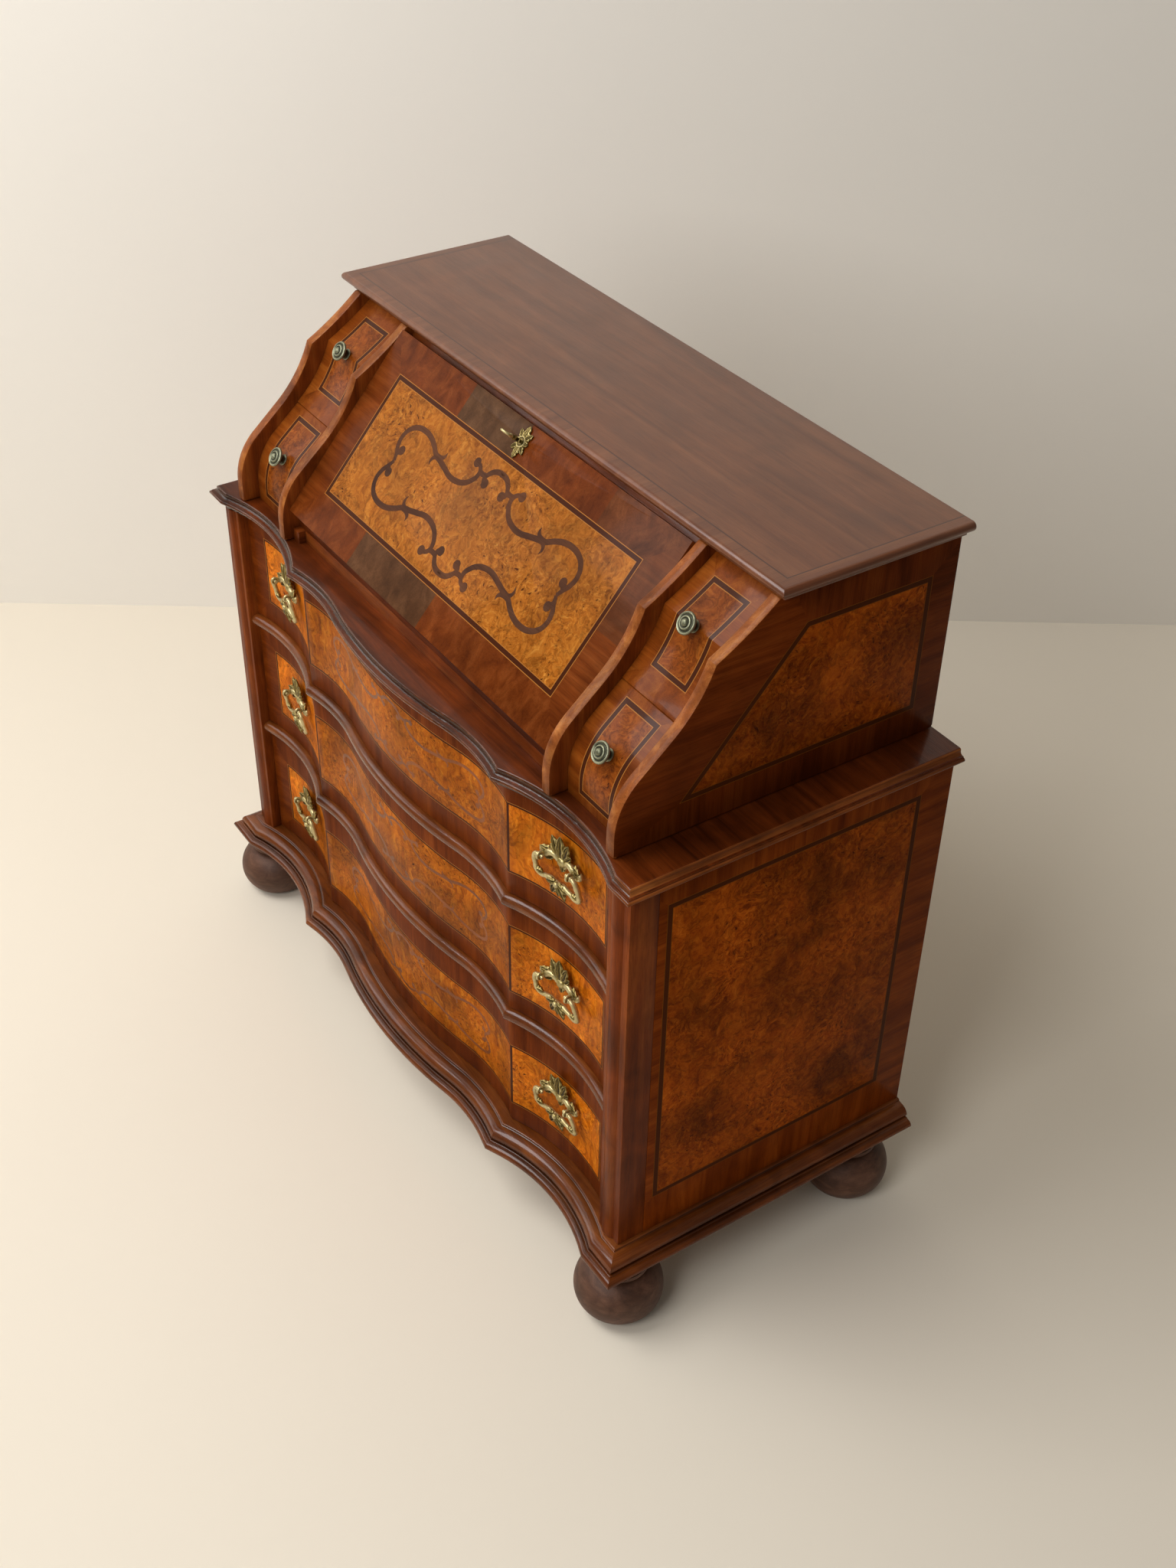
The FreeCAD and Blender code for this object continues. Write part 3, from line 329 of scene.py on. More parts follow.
def wood_tone(tree, place, grain, tones, clouds=PLAIN_CLOUDS):
    """Streaked and clouded colour of a wood along its grain, and the height of its open pores."""
    drawn_out = add(tree, "Mapping", {"Vector": place, "Scale": grain}).outputs[0]
    broad = {"Vector": drawn_out, "Scale": 1.0, "Detail": 6.0, "Roughness": 0.62, "Distortion": 0.7}
    streak = add(tree, "TexNoise", broad).outputs[0]
    colour = add(tree, "ValToRGB", {0: streak}, stops=tones).outputs[0]
    # Pores are 1.5 mm broad here, coarser than real ones, so that they show.
    fine = {"Vector": drawn_out, "Scale": 14.0, "Detail": 2.0, "Roughness": 0.7}
    pore = add(tree, "TexNoise", fine).outputs[0]
    open_pore = add(tree, "MapRange", {"Value": pore, "From Min": 0.36, "From Max": 0.5}).outputs[0]
    # Clouds are about 80 mm broad.
    wide = {"Vector": place, "Scale": 12.0, "Detail": 3.0, "Distortion": 0.8}
    cloud = add(tree, "TexNoise", wide).outputs[0]
    colour = shaded(tree, colour, cloud, *clouds, start=0.3, end=0.7)
    return shaded(tree, colour, open_pore, 0.8, 1.0), open_pore


BURL = ((0.3, "#652e08"), (0.44, "#925114"), (0.56, "#ad6720"), (0.7, "#c58637"))
# Painted shade: the sides' burl is a darker copy of the panel burl, for the shade the sides stand in.
SHADED_SIDE_BURL = ((0.3, "#5e2103"), (0.44, "#883a06"), (0.56, "#a34e0c"), (0.7, "#be661b"))
DRAWER_BURL = ((0.3, "#7a3404"), (0.44, "#b0580b"), (0.56, "#cb7014"), (0.7, "#e38e28"))
SMALL_BURL = ((0.3, "#4c1f04"), (0.44, "#743609"), (0.56, "#8a4510"), (0.7, "#a25c1d"))
SIDE_CLOUDS = (0.4, 1.15)
PANEL_CLOUDS = (0.62, 1.08)
DRAWER_CLOUDS = (0.45, 1.12)
EYE_DARK = "#3f1803"
EYE_RINGS = (
    (0.12, "#ffffff"),
    (0.22, "#606060"),
    (0.29, "#000000"),
    (0.36, "#a8a8a8"),
    (0.45, "#000000"),
)


def burl_tone(tree, place, tones, clouds, flames):
    """Figure of walnut burl: flames and curls, thin dark veins, clouds and clusters of dark eyes."""
    swirl = add(tree, "TexNoise", {"Vector": place, "Scale": 22.0, "Detail": 3.0, "Roughness": 0.55})
    away = {0: swirl.outputs["Color"], 1: (0.5, 0.5, 0.5)}
    centred = add(tree, "VectorMath", away, operation="SUBTRACT").outputs[0]
    pulled = add(tree, "VectorMath", {0: centred, "Scale": 0.05}, operation="SCALE").outputs[0]
    swirled = add(tree, "VectorMath", {0: place, 1: pulled}, operation="ADD").outputs[0]
    # Flames are about 9 mm broad and 60 mm long, and curls about 7 mm across.
    drawn_out = add(tree, "Mapping", {"Vector": swirled, "Scale": (110.0, 40.0, 16.0)}).outputs[0]
    flames_out = {"Vector": drawn_out, "Scale": 1.0, "Detail": 6.0, "Roughness": 0.66, "Distortion": 0.6}
    flame = add(tree, "TexNoise", flames_out).outputs[0]
    curls = {"Vector": swirled, "Scale": 140.0, "Detail": 6.0, "Roughness": 0.7, "Distortion": 0.8}
    curl = add(tree, "TexNoise", curls).outputs[0]
    cluster = add(tree, "TexNoise", {"Vector": place, "Scale": 13.0, "Detail": 2.0}).outputs[0]
    gathered = add(tree, "MapRange", {"Value": cluster, "From Min": 0.45, "From Max": 0.58}).outputs[0]
    calm = add(tree, "ValToRGB", {0: flame}, stops=tones).outputs[0]
    curled = add(tree, "ValToRGB", {0: curl}, stops=tones).outputs[0]
    share = add(tree, "MapRange", {"Value": gathered, "To Min": 1 - flames, "To Max": 0.9}).outputs[0]
    figure = {SHARE: share, FIRST: calm, SECOND: curled}
    colour = add(tree, "Mix", figure, data_type="RGBA").outputs[2]
    bends = {"Vector": swirled, "Scale": 34.0, "Detail": 4.0, "Roughness": 0.6}
    bend = add(tree, "TexNoise", bends).outputs[0]
    beside = add(tree, "Math", {0: bend, 1: 0.5}, operation="SUBTRACT").outputs[0]
    from_vein = add(tree, "Math", {0: beside}, operation="ABSOLUTE").outputs[0]
    colour = shaded(tree, colour, from_vein, 0.66, 1.0, end=0.035)
    wide = {"Vector": swirled, "Scale": 9.0, "Detail": 4.0, "Roughness": 0.6}
    cloud = add(tree, "TexNoise", wide).outputs[0]
    colour = shaded(tree, colour, cloud, *clouds, start=0.33, end=0.64)
    # Eyes are about 4 mm across, each in a thin ring, and stand in clusters of a few centimetres.
    spots = {"Vector": swirled, "Scale": 110.0, "Randomness": 1.0}
    eye = add(tree, "TexVoronoi", spots).outputs["Distance"]
    dark = add(tree, "ValToRGB", {0: eye}, stops=EYE_RINGS).outputs[0]
    often = add(tree, "MapRange", {"Value": gathered, "To Min": 0.04, "To Max": 0.95}).outputs[0]
    eyes = add(tree, "Math", {0: dark, 1: often}, operation="MULTIPLY").outputs[0]
    figure = {SHARE: eyes, FIRST: colour, SECOND: linear(EYE_DARK)}
    return add(tree, "Mix", figure, data_type="RGBA").outputs[2]


def sheen(tree, place, low, high):
    """Roughness that drifts over the old shellac."""
    haze = add(tree, "TexNoise", {"Vector": place, "Scale": 14.0, "Detail": 4.0}).outputs[0]
    return add(tree, "MapRange", {"Value": haze, "To Min": low, "To Max": high}).outputs[0]


def walnut(name, grain, tones=WALNUT, gloss=0.1, coat=0.2, moulded=False):
    """Planed walnut under old shellac: dark streaks, open pores, soft gloss, painted shade with dirt in
    its mouldings.
    """
    finish, tree, place = new_finish(name)
    colour, pores = wood_tone(tree, place, GRAIN[grain], tones)
    rough = (0.3, 0.44)
    if moulded:
        # Painted shade with dirt: the moulding's grooves are darkened by how open or sunk each point
        # lies.
        crest = add(tree, "Attribute", attribute_name="crest").outputs["Fac"]
        colour = shaded(tree, colour, crest, 0.3, 1.0, start=0.45, end=0.95)
        rough = (0.18, 0.27)
    polish(tree, colour, pores, sheen(tree, place, *rough), relief=0.25, gloss=gloss, coat=coat)
    return finish


def inset_from(tree, place, lines):
    """How far a point lies inside the nearest of a panel's border lines, in metres.

    A line has a direction, a start along it and, where panels lie on both sides of it, its half width.
    """
    nearest = None
    for direction, start, half in lines:
        along = {0: place, 1: direction}
        reach = add(tree, "VectorMath", along, operation="DOT_PRODUCT").outputs["Value"]
        reach = add(tree, "Math", {0: reach, 1: start * MM}, operation="SUBTRACT").outputs[0]
        if half:
            reach = add(tree, "Math", {0: reach}, operation="ABSOLUTE").outputs[0]
            reach = add(tree, "Math", {0: reach, 1: half * MM}, operation="SUBTRACT").outputs[0]
        if nearest is None:
            nearest = reach
        else:
            nearest = add(tree, "Math", {0: nearest, 1: reach}, operation="MINIMUM").outputs[0]
    return nearest


def laid(tree, inset, edge, inside, outside):
    """One veneer inside an inset from the border and another outside it."""
    within = add(tree, "Math", {0: inset, 1: edge * MM}, operation="GREATER_THAN").outputs[0]
    veneers = {SHARE: within, FIRST: outside, SECOND: inside}
    return add(tree, "Mix", veneers, data_type="RGBA").outputs[2]


def mirrored(tree, place):
    """A place's parts, its distance from the middle along x, and the place with x that distance."""
    parts = add(tree, "SeparateXYZ", {0: place}).outputs
    out = add(tree, "Math", {0: parts[0]}, operation="ABSOLUTE").outputs[0]
    folded = add(tree, "CombineXYZ", {0: out, 1: parts[1], 2: parts[2]}).outputs[0]
    return parts, out, folded


def veneered(
    name,
    side_lines,
    end_lines,
    side_grain,
    end_grain,
    strings,
    tones=BURL,
    clouds=PANEL_CLOUDS,
    band=BAND,
    flames=0.45,
    gloss=0.08,
    coat=0.1,
    pieces=(),
    hollows=None,
):
    """Burl panel in cross-banded walnut, with inlaid strings between them.

    Strings are (outer edge, colour) pairs from the outside in, in millimetres from the panel's border.
    Pieces are greyer lengths of the border: share, low x, high x, direction and start, in millimetres.
    Hollows are given where painted light and shade change the burl along x: start, shade within it and
    shade beyond it.
    """
    finish, tree, place = new_finish(name)
    parts, out, folded = mirrored(tree, place)
    from_side = inset_from(tree, folded, side_lines)
    from_end = inset_from(tree, folded, end_lines)
    inset = add(tree, "Math", {0: from_side, 1: from_end}, operation="MINIMUM").outputs[0]
    beside, pores = wood_tone(tree, place, GRAIN[side_grain], band, BORDER_CLOUDS)
    above, _ = wood_tone(tree, place, GRAIN[end_grain], band, BORDER_CLOUDS)
    at_side = add(tree, "Math", {0: from_side, 1: from_end}, operation="LESS_THAN").outputs[0]
    veneers = {SHARE: at_side, FIRST: above, SECOND: beside}
    colour = add(tree, "Mix", veneers, data_type="RGBA").outputs[2]
    for much, low, high, direction, start in pieces:
        span = {0: parts[0], 1: (low + high) / 2 * MM, 2: (high - low) / 2 * MM}
        across = add(tree, "Math", span, operation="COMPARE").outputs[0]
        beyond = inset_from(tree, place, [(direction, start, 0)])
        beyond = add(tree, "Math", {0: beyond, 1: 0.0}, operation="GREATER_THAN").outputs[0]
        share = add(tree, "Math", {0: across, 1: beyond}, operation="MULTIPLY").outputs[0]
        share = add(tree, "Math", {0: share, 1: much}, operation="MULTIPLY").outputs[0]
        grey, _ = wood_tone(tree, place, GRAIN[end_grain], GREY_BAND, BORDER_CLOUDS)
        veneers = {SHARE: share, FIRST: colour, SECOND: grey}
        colour = add(tree, "Mix", veneers, data_type="RGBA").outputs[2]
    burl = burl_tone(tree, place, tones, clouds, flames)
    # Painted light and shade: the burl is multiplied by one shade within the start and another beyond it.
    if hollows:
        start, within, beyond = hollows
        further = add(tree, "Math", {0: out, 1: start * MM}, operation="GREATER_THAN").outputs[0]
        burl = shaded(tree, burl, further, within, beyond)
    for edge, code in strings:
        tone = burl if code == "burl" else linear(code)
        colour = laid(tree, inset, edge, tone, colour)
    polish(tree, colour, pores, sheen(tree, place, 0.28, 0.4), relief=0.1, gloss=gloss, coat=coat)
    return finish


def direction_lines(direction, low, high):
    """The two border lines of a panel across a direction."""
    back = tuple(-c for c in direction)
    return [(direction, low, 0), (back, -high, 0)]


LIGHT_LINE = "#a0662c"
DARK_LINE = "#3f1d0c"
FRAME_STRINGS = ((-8, LIGHT_LINE), (-7, DARK_LINE), (-1, LIGHT_LINE), (0, "burl"))
SIDE_LIGHT_LINE = "#74400f"
SIDE_DARK_LINE = "#45200b"
SIDE_STRINGS = ((-8, SIDE_LIGHT_LINE), (-7.2, SIDE_DARK_LINE), (-0.8, SIDE_LIGHT_LINE), (0, "burl"))
THIN_STRINGS = ((-3.4, LIGHT_LINE), (-2.6, DARK_LINE), (0, "burl"))
UP = (0, 0, 1)
OUTWARD = (1, 0, 0)
INWARD = (-1, 0, 0)
DEEP = (0, 1, 0)
FRONTWARD = (0, -1, 0)

walnut_across = walnut("walnut_across", "x")
walnut_deep = walnut("walnut_deep", "y")
walnut_upright = walnut("walnut_upright", "z", gloss=0.05, coat=0.05)
walnut_ledge = walnut("walnut_ledge", "x", LEDGE)
walnut_edge = walnut("walnut_cheek_edge", "y", EDGE, coat=0.06)
walnut_inlay = walnut("walnut_strapwork", "x", STRAP, gloss=0.04, coat=0.04)
walnut_faint = walnut("walnut_faint_strapwork", "x", FAINT_STRAP)
moulding_across = walnut("walnut_moulding_across", "x", MOULDING, gloss=0.15, coat=0.45, moulded=True)
moulding_deep = walnut("walnut_moulding_deep", "y", MOULDING, gloss=0.12, coat=0.25, moulded=True)
ledge_end = walnut("walnut_ledge_end", "y", EDGE, coat=0.06)


def pine(name, grain):
    """Knife-planed pine, unpolished: pale, with reddish late wood about every 20 mm."""
    finish, tree, place = new_finish(name)
    tones = ((0.25, "#8f6238"), (0.5, "#b48a5a"), (0.8, "#c9a373"))
    colour, pores = wood_tone(tree, place, GRAIN[grain], tones, PINE_CLOUDS)
    polish(tree, colour, pores, sheen(tree, place, 0.55, 0.7), relief=0.2)
    return finish


def stained_feet():
    """Turned wood under dark stain: nearly matt, with rings of wear."""
    finish, tree, place = new_finish("stained_turned_wood")
    tones = ((0.2, "#3a2317"), (0.5, "#5a3b2b"), (0.8, "#73503d"))
    rings = (40.0, 40.0, 90.0)
    colour, pores = wood_tone(tree, place, rings, tones)
    polish(tree, colour, pores, sheen(tree, place, 0.42, 0.6), relief=0.25, gloss=0.3)
    return finish


def aged_brass(name, tones):
    """Cast brass gone dull: pale on the crests, brown and green in the hollows."""
    finish, tree, place = new_finish(name)
    crest = add(tree, "Attribute", attribute_name="crest").outputs["Fac"]
    # Spots of tarnish are about 6 mm across.
    spots = {"Vector": place, "Scale": 160.0, "Detail": 5.0, "Roughness": 0.65}
    tarnish = add(tree, "TexNoise", spots).outputs[0]
    uneven = add(tree, "MapRange", {"Value": tarnish, "To Min": 0.7, "To Max": 1.25}).outputs[0]
    worn = add(tree, "Math", {0: crest, 1: uneven}, operation="MULTIPLY").outputs[0]
    colour = add(tree, "ValToRGB", {0: worn}, stops=tones).outputs[0]
    rough = add(tree, "MapRange", {"Value": tarnish, "To Min": 0.28, "To Max": 0.46}).outputs[0]
    polish(tree, colour, tarnish, rough, relief=0.2, gloss=0.4, metal=0.72)
    return finish


CAST = ((0.3, "#33280e"), (0.55, "#6f5d2c"), (0.8, "#a08d55"), (1.0, "#cbbc8a"))
TURNED = ((0.35, "#34342a"), (0.6, "#65664f"), (0.8, "#8b8b72"), (1.0, "#b4b498"))
pine_across = pine("planed_pine_across", "x")
pine_deep = pine("planed_pine_deep", "y")
dark_feet = stained_feet()
brass = aged_brass("aged_cast_brass", CAST)
knob_brass = aged_brass("aged_turned_brass", TURNED)


# Carcass in walnut and burl

# Border lines of the side panels, in millimetres before the back and above the floor. The upper
# panel's front border follows the slope of the cabinet.
SIDE_FRONT = 421
SIDE_BACK = 56
SIDE_FOOT = 207
SIDE_HEAD = 697
UPPER_BACK = 47
UPPER_FOOT = 812
UPPER_HEAD = 983
SLOPE_IN = (0, 0.7514, -0.6597)
SLOPE_START = -608.3
side_panel = veneered(
    "burl_side_panel",
    side_lines=direction_lines(DEEP, BACK_Y - SIDE_FRONT, BACK_Y - SIDE_BACK),
    end_lines=direction_lines(UP, SIDE_FOOT, SIDE_HEAD),
    side_grain="y",
    end_grain="z",
    strings=SIDE_STRINGS,
    tones=SHADED_SIDE_BURL,
    clouds=SIDE_CLOUDS,
    band=SIDE_BAND,
    gloss=0.02,
    coat=0.0,
)
upper_panel = veneered(
    "burl_upper_panel",
    side_lines=[(FRONTWARD, UPPER_BACK - BACK_Y, 0), (SLOPE_IN, SLOPE_START, 0)],
    end_lines=direction_lines(UP, UPPER_FOOT, UPPER_HEAD),
    side_grain="y",
    end_grain="z",
    strings=SIDE_STRINGS,
    tones=SHADED_SIDE_BURL,
    clouds=SIDE_CLOUDS,
    band=DARK_BAND,
    gloss=0.02,
    coat=0.0,
)


# Section of the plinth from the top down, in millimetres out from the carcass and up from the
# plinth's foot: straight steps have an end, bowed steps a pull and an end.
PLINTH_SECTION = (
    ((2, 45),),
    ((5.4, 44.6), (4.6, 42.2)),
    ((5.6, 41.6),),
    ((18.2, 41.2), (21.6, 34.4)),
    ((24.8, 28.4), (21, 26.4)),
    ((20.4, 25.4),),
    ((23.4, 25.3),),
    ((25, 25.1), (25.2, 24)),
    ((33.4, 23.4), (34.4, 17.4)),
    ((34.6, 12.6), (27.6, 12.4)),
    ((12, 12),),
    ((3.4, 0),),
)
PLINTH_FOOT = 93
PLINTH_TALL = 45
# The plinth's top line stands out this far, and its points lie within the slack of the top.
TOP_REACH = 1.6
TOP_SLACK = 0.01
CARCASS_HALF = 534
# The front length's top line lies before this y, and its inner corners on the carcass's half width.
FRONT_BEFORE = -190
RETURN_STEPS = 8
BOW_STEPS = 10
# How far the lengths reach in under the carcass.
RETURN_IN = -8
FRONT_IN = -24
ROLL_CREASE = 18


def section_points(steps):
    """Points along a section of straight and bowed steps."""
    points = [Vector(steps[0][0])]
    for step in steps[1:]:
        start = points[-1]
        end = Vector(step[-1])
        if len(step) == 1:
            points.append(end)
            continue
        pull = Vector(step[0])
        for i in range(1, BOW_STEPS + 1):
            part = i / BOW_STEPS
            points.append(start * (1 - part) ** 2 + pull * 2 * part * (1 - part) + end * part**2)
    return points


def plinth_line():
    """The plinth's top line in plan from the back on the left round to the back on the right."""
    high = (PLINTH_FOOT + PLINTH_TALL - TOP_SLACK) * MM
    before = FRONT_BEFORE * MM
    places = [vertex.co for vertex in nodes["plinth_front"].data.vertices]
    top = [(round(at.x, 5), round(at.y, 5)) for at in places if at.z > high and at.y < before]
    line = [Vector(at) for at in sorted(set(top)) if round(abs(at[0]) / MM) != CARCASS_HALF]
    back = BACK_Y * MM
    back_left = Vector((line[0].x, back))
    back_right = Vector((line[-1].x, back))
    left = [back_left.lerp(line[0], step / RETURN_STEPS) for step in range(RETURN_STEPS)]
    right = [line[-1].lerp(back_right, (step + 1) / RETURN_STEPS) for step in range(RETURN_STEPS)]
    return left, line, right


def outward_mitres(line):
    """The way out of each point of a line in plan, drawn out at its turns."""
    sides = []
    for start, end in zip(line, line[1:]):
        along = (end - start).normalized()
        sides.append(Vector((along.y, -along.x)))
    pairs = zip([sides[0]] + sides, sides + [sides[-1]])
    return [(first + second) / (1 + first.dot(second)) for first, second in pairs]


def swept(line, ways, inner):
    """A closed moulding: a grid laid along a line in plan with the plinth's section."""
    high = Vector((inner, PLINTH_TALL))
    low = Vector((inner, 0))
    section = [high] + section_points(PLINTH_SECTION) + [low, high]
    bpy.ops.object.select_all(action="DESELECT")
    bpy.ops.mesh.primitive_grid_add(x_subdivisions=len(section) - 1, y_subdivisions=len(line) - 1)
    piece = bpy.context.object
    spots = [(at, way, step) for at, way in zip(line, ways) for step in section]
    for point, (at, way, step) in zip(piece.data.vertices, spots, strict=True):
        out = at + way * (step.x - TOP_REACH) * MM
        point.co = (out.x, out.y, (PLINTH_FOOT + step.y) * MM)
    open_mesh(piece)
    bpy.ops.mesh.remove_doubles(threshold=SAME_POINT)
    bpy.ops.mesh.fill_holes(sides=0)
    bpy.ops.mesh.normals_make_consistent(inside=False)
    close_mesh()
    return smooth(piece, ROLL_CREASE)


def rolled_plinth():
    """The plinth's three mitred lengths with their two full rolls."""
    left, front, right = plinth_line()
    line = left + front + right
    ways = outward_mitres(line)
    first = len(left)
    last = first + len(front) - 1
    lengths = {
        "plinth_left": (0, first + 1, RETURN_IN, moulding_deep),
        "plinth_front": (first, last + 1, FRONT_IN, moulding_across),
        "plinth_right": (last, len(line), RETURN_IN, moulding_deep),
    }
    for node, (low, high, inner, finish) in lengths.items():
        piece = shadowed(swept(line[low:high], ways[low:high], inner))
        settle(piece, f"{node}_rolled", nodes[node]["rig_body"], finish, "walnut", node)


def outer_face(normal, middle):
    """Outer faces of the sides."""
    return abs(normal.x) > 0.9 and normal.x * middle.x > 0


def front_edge(normal, middle):
    """Front edges of the cheeks."""
    return abs(normal.x) < 0.9 and (normal.y < -0.05 or normal.z > 0.3)


CHEEK_ROUND = 4.5
for side in SIDES:
    flank = eased(f"side_{side}", walnut_upright, "walnut")
    faced(flank, side_panel, outer_face)
    upper = eased(f"upper_side_{side}", walnut_upright, "walnut", CHEEK_ROUND)
    faced(upper, upper_panel, outer_face)
    faced(upper, walnut_edge, front_edge)
    cheek = eased(f"inner_cheek_{side}", walnut_upright, "walnut", CHEEK_ROUND)
    faced(cheek, walnut_edge, front_edge)
    eased(f"post_{side}", walnut_upright, "walnut", 1.0)
    eased(f"loper_{side}", walnut_deep, "walnut")
rolled_plinth()
shadowed(eased("drawer_rails", moulding_across, "walnut", 0.6))
for node in ("flap_stop_rail", "desk_bearer"):
    eased(node, walnut_across, "walnut", 0.6)
eased("desk_floor", walnut_ledge, "walnut", 0.6)
ledge = crested(eased("mid_board", moulding_across, "walnut", 0.6))
faced(ledge, walnut_ledge, lambda normal, middle: normal.z > 0.9)
faced(ledge, ledge_end, lambda normal, middle: abs(normal.y) < 0.1 and normal.z < 0.9)
eased("bun_feet", dark_feet, "stained_feet", 1.5)
for node in ("carcass_back", "bottom_board", "drawer_runners", "upper_back", "drawer_shelves"):
    eased(node, pine_across, "pine")


def drawer_box(node, width):
    """A pine drawer box with the grain of its sides running back."""
    box = eased(node, pine_across, "pine", width)
    return faced(box, pine_deep, lambda normal, middle: abs(normal.x) > 0.7)


# The dark line in the top lies between these distances from its front and ends.
TOP_LINE_OUT = 19
TOP_LINE_IN = 21


def top_finish():
    """Walnut top with a dark line let in along its front and ends."""
    finish, tree, place = new_finish("walnut_top")
    low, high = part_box("top_board")
    _, _, folded = mirrored(tree, place)
    lines = [(INWARD, -high.x / MM, 0), (DEEP, low.y / MM, 0)]
    inset = inset_from(tree, folded, lines)
    colour, pores = wood_tone(tree, place, GRAIN["x"], TOP, TOP_CLOUDS)
    margin, _ = wood_tone(tree, place, GRAIN["y"], TOP, TOP_CLOUDS)
    lined = laid(tree, inset, TOP_LINE_OUT, linear(DARK_LINE), margin)
    colour = laid(tree, inset, TOP_LINE_IN, colour, lined)
    polish(tree, colour, pores, sheen(tree, place, 0.3, 0.42), relief=0.12, gloss=0.5, coat=0.15)
    return finish


eased("top_board", top_finish(), "walnut", 1.0)


# Strapwork let into the burl


def drawn(knots):
    """A strand along a smooth line through knots of x, y, z and half width in millimetres."""
    bpy.ops.object.select_all(action="DESELECT")
    bpy.ops.curve.primitive_bezier_curve_add()
    strand = bpy.context.object
    strand.data.bevel_depth = MM
    strand.data.bevel_resolution = 3
    strand.data.use_fill_caps = True
    strand.data.resolution_u = 8
    points = strand.data.splines[0].bezier_points
    points.add(len(knots) - len(points))
    for point, (x, y, z, half) in zip(points, knots):
        point.co = (x * MM, y * MM, z * MM)
        point.radius = half
        point.handle_left_type = "AUTO"
        point.handle_right_type = "AUTO"
    bpy.ops.object.convert(target="MESH")
    return bpy.context.object


def ball(x, y, z, radius):
    """A round bead of a radius in millimetres."""
    bpy.ops.object.select_all(action="DESELECT")
    bpy.ops.mesh.primitive_uv_sphere_add(
        segments=20, ring_count=12, radius=radius * MM, location=(x * MM, y * MM, z * MM)
    )
    return moved(bpy.context.object, Matrix.Identity(4))


# One quarter of the strapwork as strands of x, y and width shares, from its middle.
STRANDS = (
    ((-4, 74, 1), (10, 73, 1), (20, 67, 1), (25, 60, 0.9), (26, 54, 0.8), (21, 51, 0.7)),
    (
        (54, 67, 0.7), (47, 66, 0.8), (41, 61, 0.9), (40, 53, 1), (45, 44, 1), (54, 36, 1), (68, 31, 1),
        (85, 30, 1), (102, 34, 1), (118, 38, 1), (132, 41, 1), (146, 49, 1), (161, 55, 1), (178, 57, 1),
        (195, 54, 1), (207, 46, 1), (213, 33, 1), (211, 20, 1), (205, 10, 0.9), (200, 0, 0.7),
    ),
    ((26, 60, 0.9), (33, 59, 0.9), (41, 60, 0.9)),
    ((133, 41, 1), (121, 42, 0.9), (115, 46, 0.7), (114, 53, 0.1)),
    ((124, 40, 0.9), (133, 37, 0.8), (136, 31, 0.6), (134, 24, 0.1)),
    ((204, 9, 0.7), (200, 13, 0.7), (198, 17, 0.7)),
)
BULBS = ((20, 51), (54, 67), (198, 17))
# A bulb's radius in half widths of a strand, and how far the strapwork stands proud, in millimetres.
BULB = 1.7
PROUD = 0.12


def strapwork(reach, rise, half):
    """Scrolls with bulbs and thorns, lying flat about x and y, from one quarter and its mirrors."""
    made = []
    for strand in STRANDS:
        made.append(drawn([(x * reach, y * rise, 0, half * share) for x, y, share in strand]))
    for x, y in BULBS:
        made.append(ball(x * reach, y * rise, 0, BULB * half))
    quarter = join(made)
    flips = [Matrix.Diagonal((across, up, 1, 1)) for across, up in ((-1, 1), (1, -1), (-1, -1))]
    whole = join([quarter] + [copied(quarter, flip) for flip in flips])
    return moved(whole, Matrix.Diagonal((1, 1, PROUD / (BULB * half), 1)))


# Large drawers

# Low and high border lines of each large drawer's burl, in millimetres above the floor.
LARGE_FRAMES = {"top_drawer": (595, 700), "middle_drawer": (388, 500), "bottom_drawer": (175, 282)}
BURL_END = 452
# Two sharp arrises part the middle of each front from its ends, and the burl is painted darker within
# them and paler beyond them, as painted shade and light.
ARRIS = 273
# A dark line runs this many millimetres each side of an arris: painted shade in its crease.
ARRIS_HALF = 2.4
PAINTED_MIDDLE_SHADE = 0.78
PAINTED_END_LIGHT = 1.2
STRAP_ANGLE = 60
TO_FRONT = Matrix.Rotation(math.radians(90), 4, "X")


def on_front(piece, front):
    """Lay a flat piece in the plane of x and z onto a bowed drawer front."""
    bpy.context.view_layer.update()
    far = 1.0
    for point in piece.data.vertices:
        hit, at, _, _ = front.ray_cast(Vector((point.co.x, -far, point.co.z)), Vector(DEEP))
        if hit:
            point.co.y += at.y
    return piece


drawer_straps = strapwork(reach=0.95, rise=0.63, half=2.5)
for drawer in LARGE_DRAWERS:
    low_line, high_line = LARGE_FRAMES[drawer]
    panel = veneered(
        f"burl_{drawer}",
        side_lines=[(OUTWARD, ARRIS, ARRIS_HALF), (INWARD, -BURL_END, 0)],
        end_lines=direction_lines(UP, low_line, high_line),
        side_grain="x",
        end_grain="z",
        strings=THIN_STRINGS,
        tones=DRAWER_BURL,
        clouds=DRAWER_CLOUDS,
        gloss=0.03,
        coat=0.02,
        flames=0.8,
        hollows=(ARRIS, PAINTED_MIDDLE_SHADE, PAINTED_END_LIGHT),
    )
    front = eased(f"{drawer}_front", walnut_across, "walnut_burl", 1.0)
    faced(front, panel, lambda normal, middle: normal.y < -0.3)
    drawer_box(f"{drawer}_box", 0.8)
    eased(f"{drawer}_bottom", pine_across, "pine", 0.5)
    middle_line = (low_line + high_line) / 2
    straps = copied(drawer_straps, Matrix.Translation((0, 0, middle_line * MM)) @ TO_FRONT)
    straps = smooth(clean(on_front(straps, front)), STRAP_ANGLE)
    settle(straps, f"{drawer}_strapwork", drawer, walnut_faint, "walnut")
bpy.data.objects.remove(drawer_straps)


# Small drawers

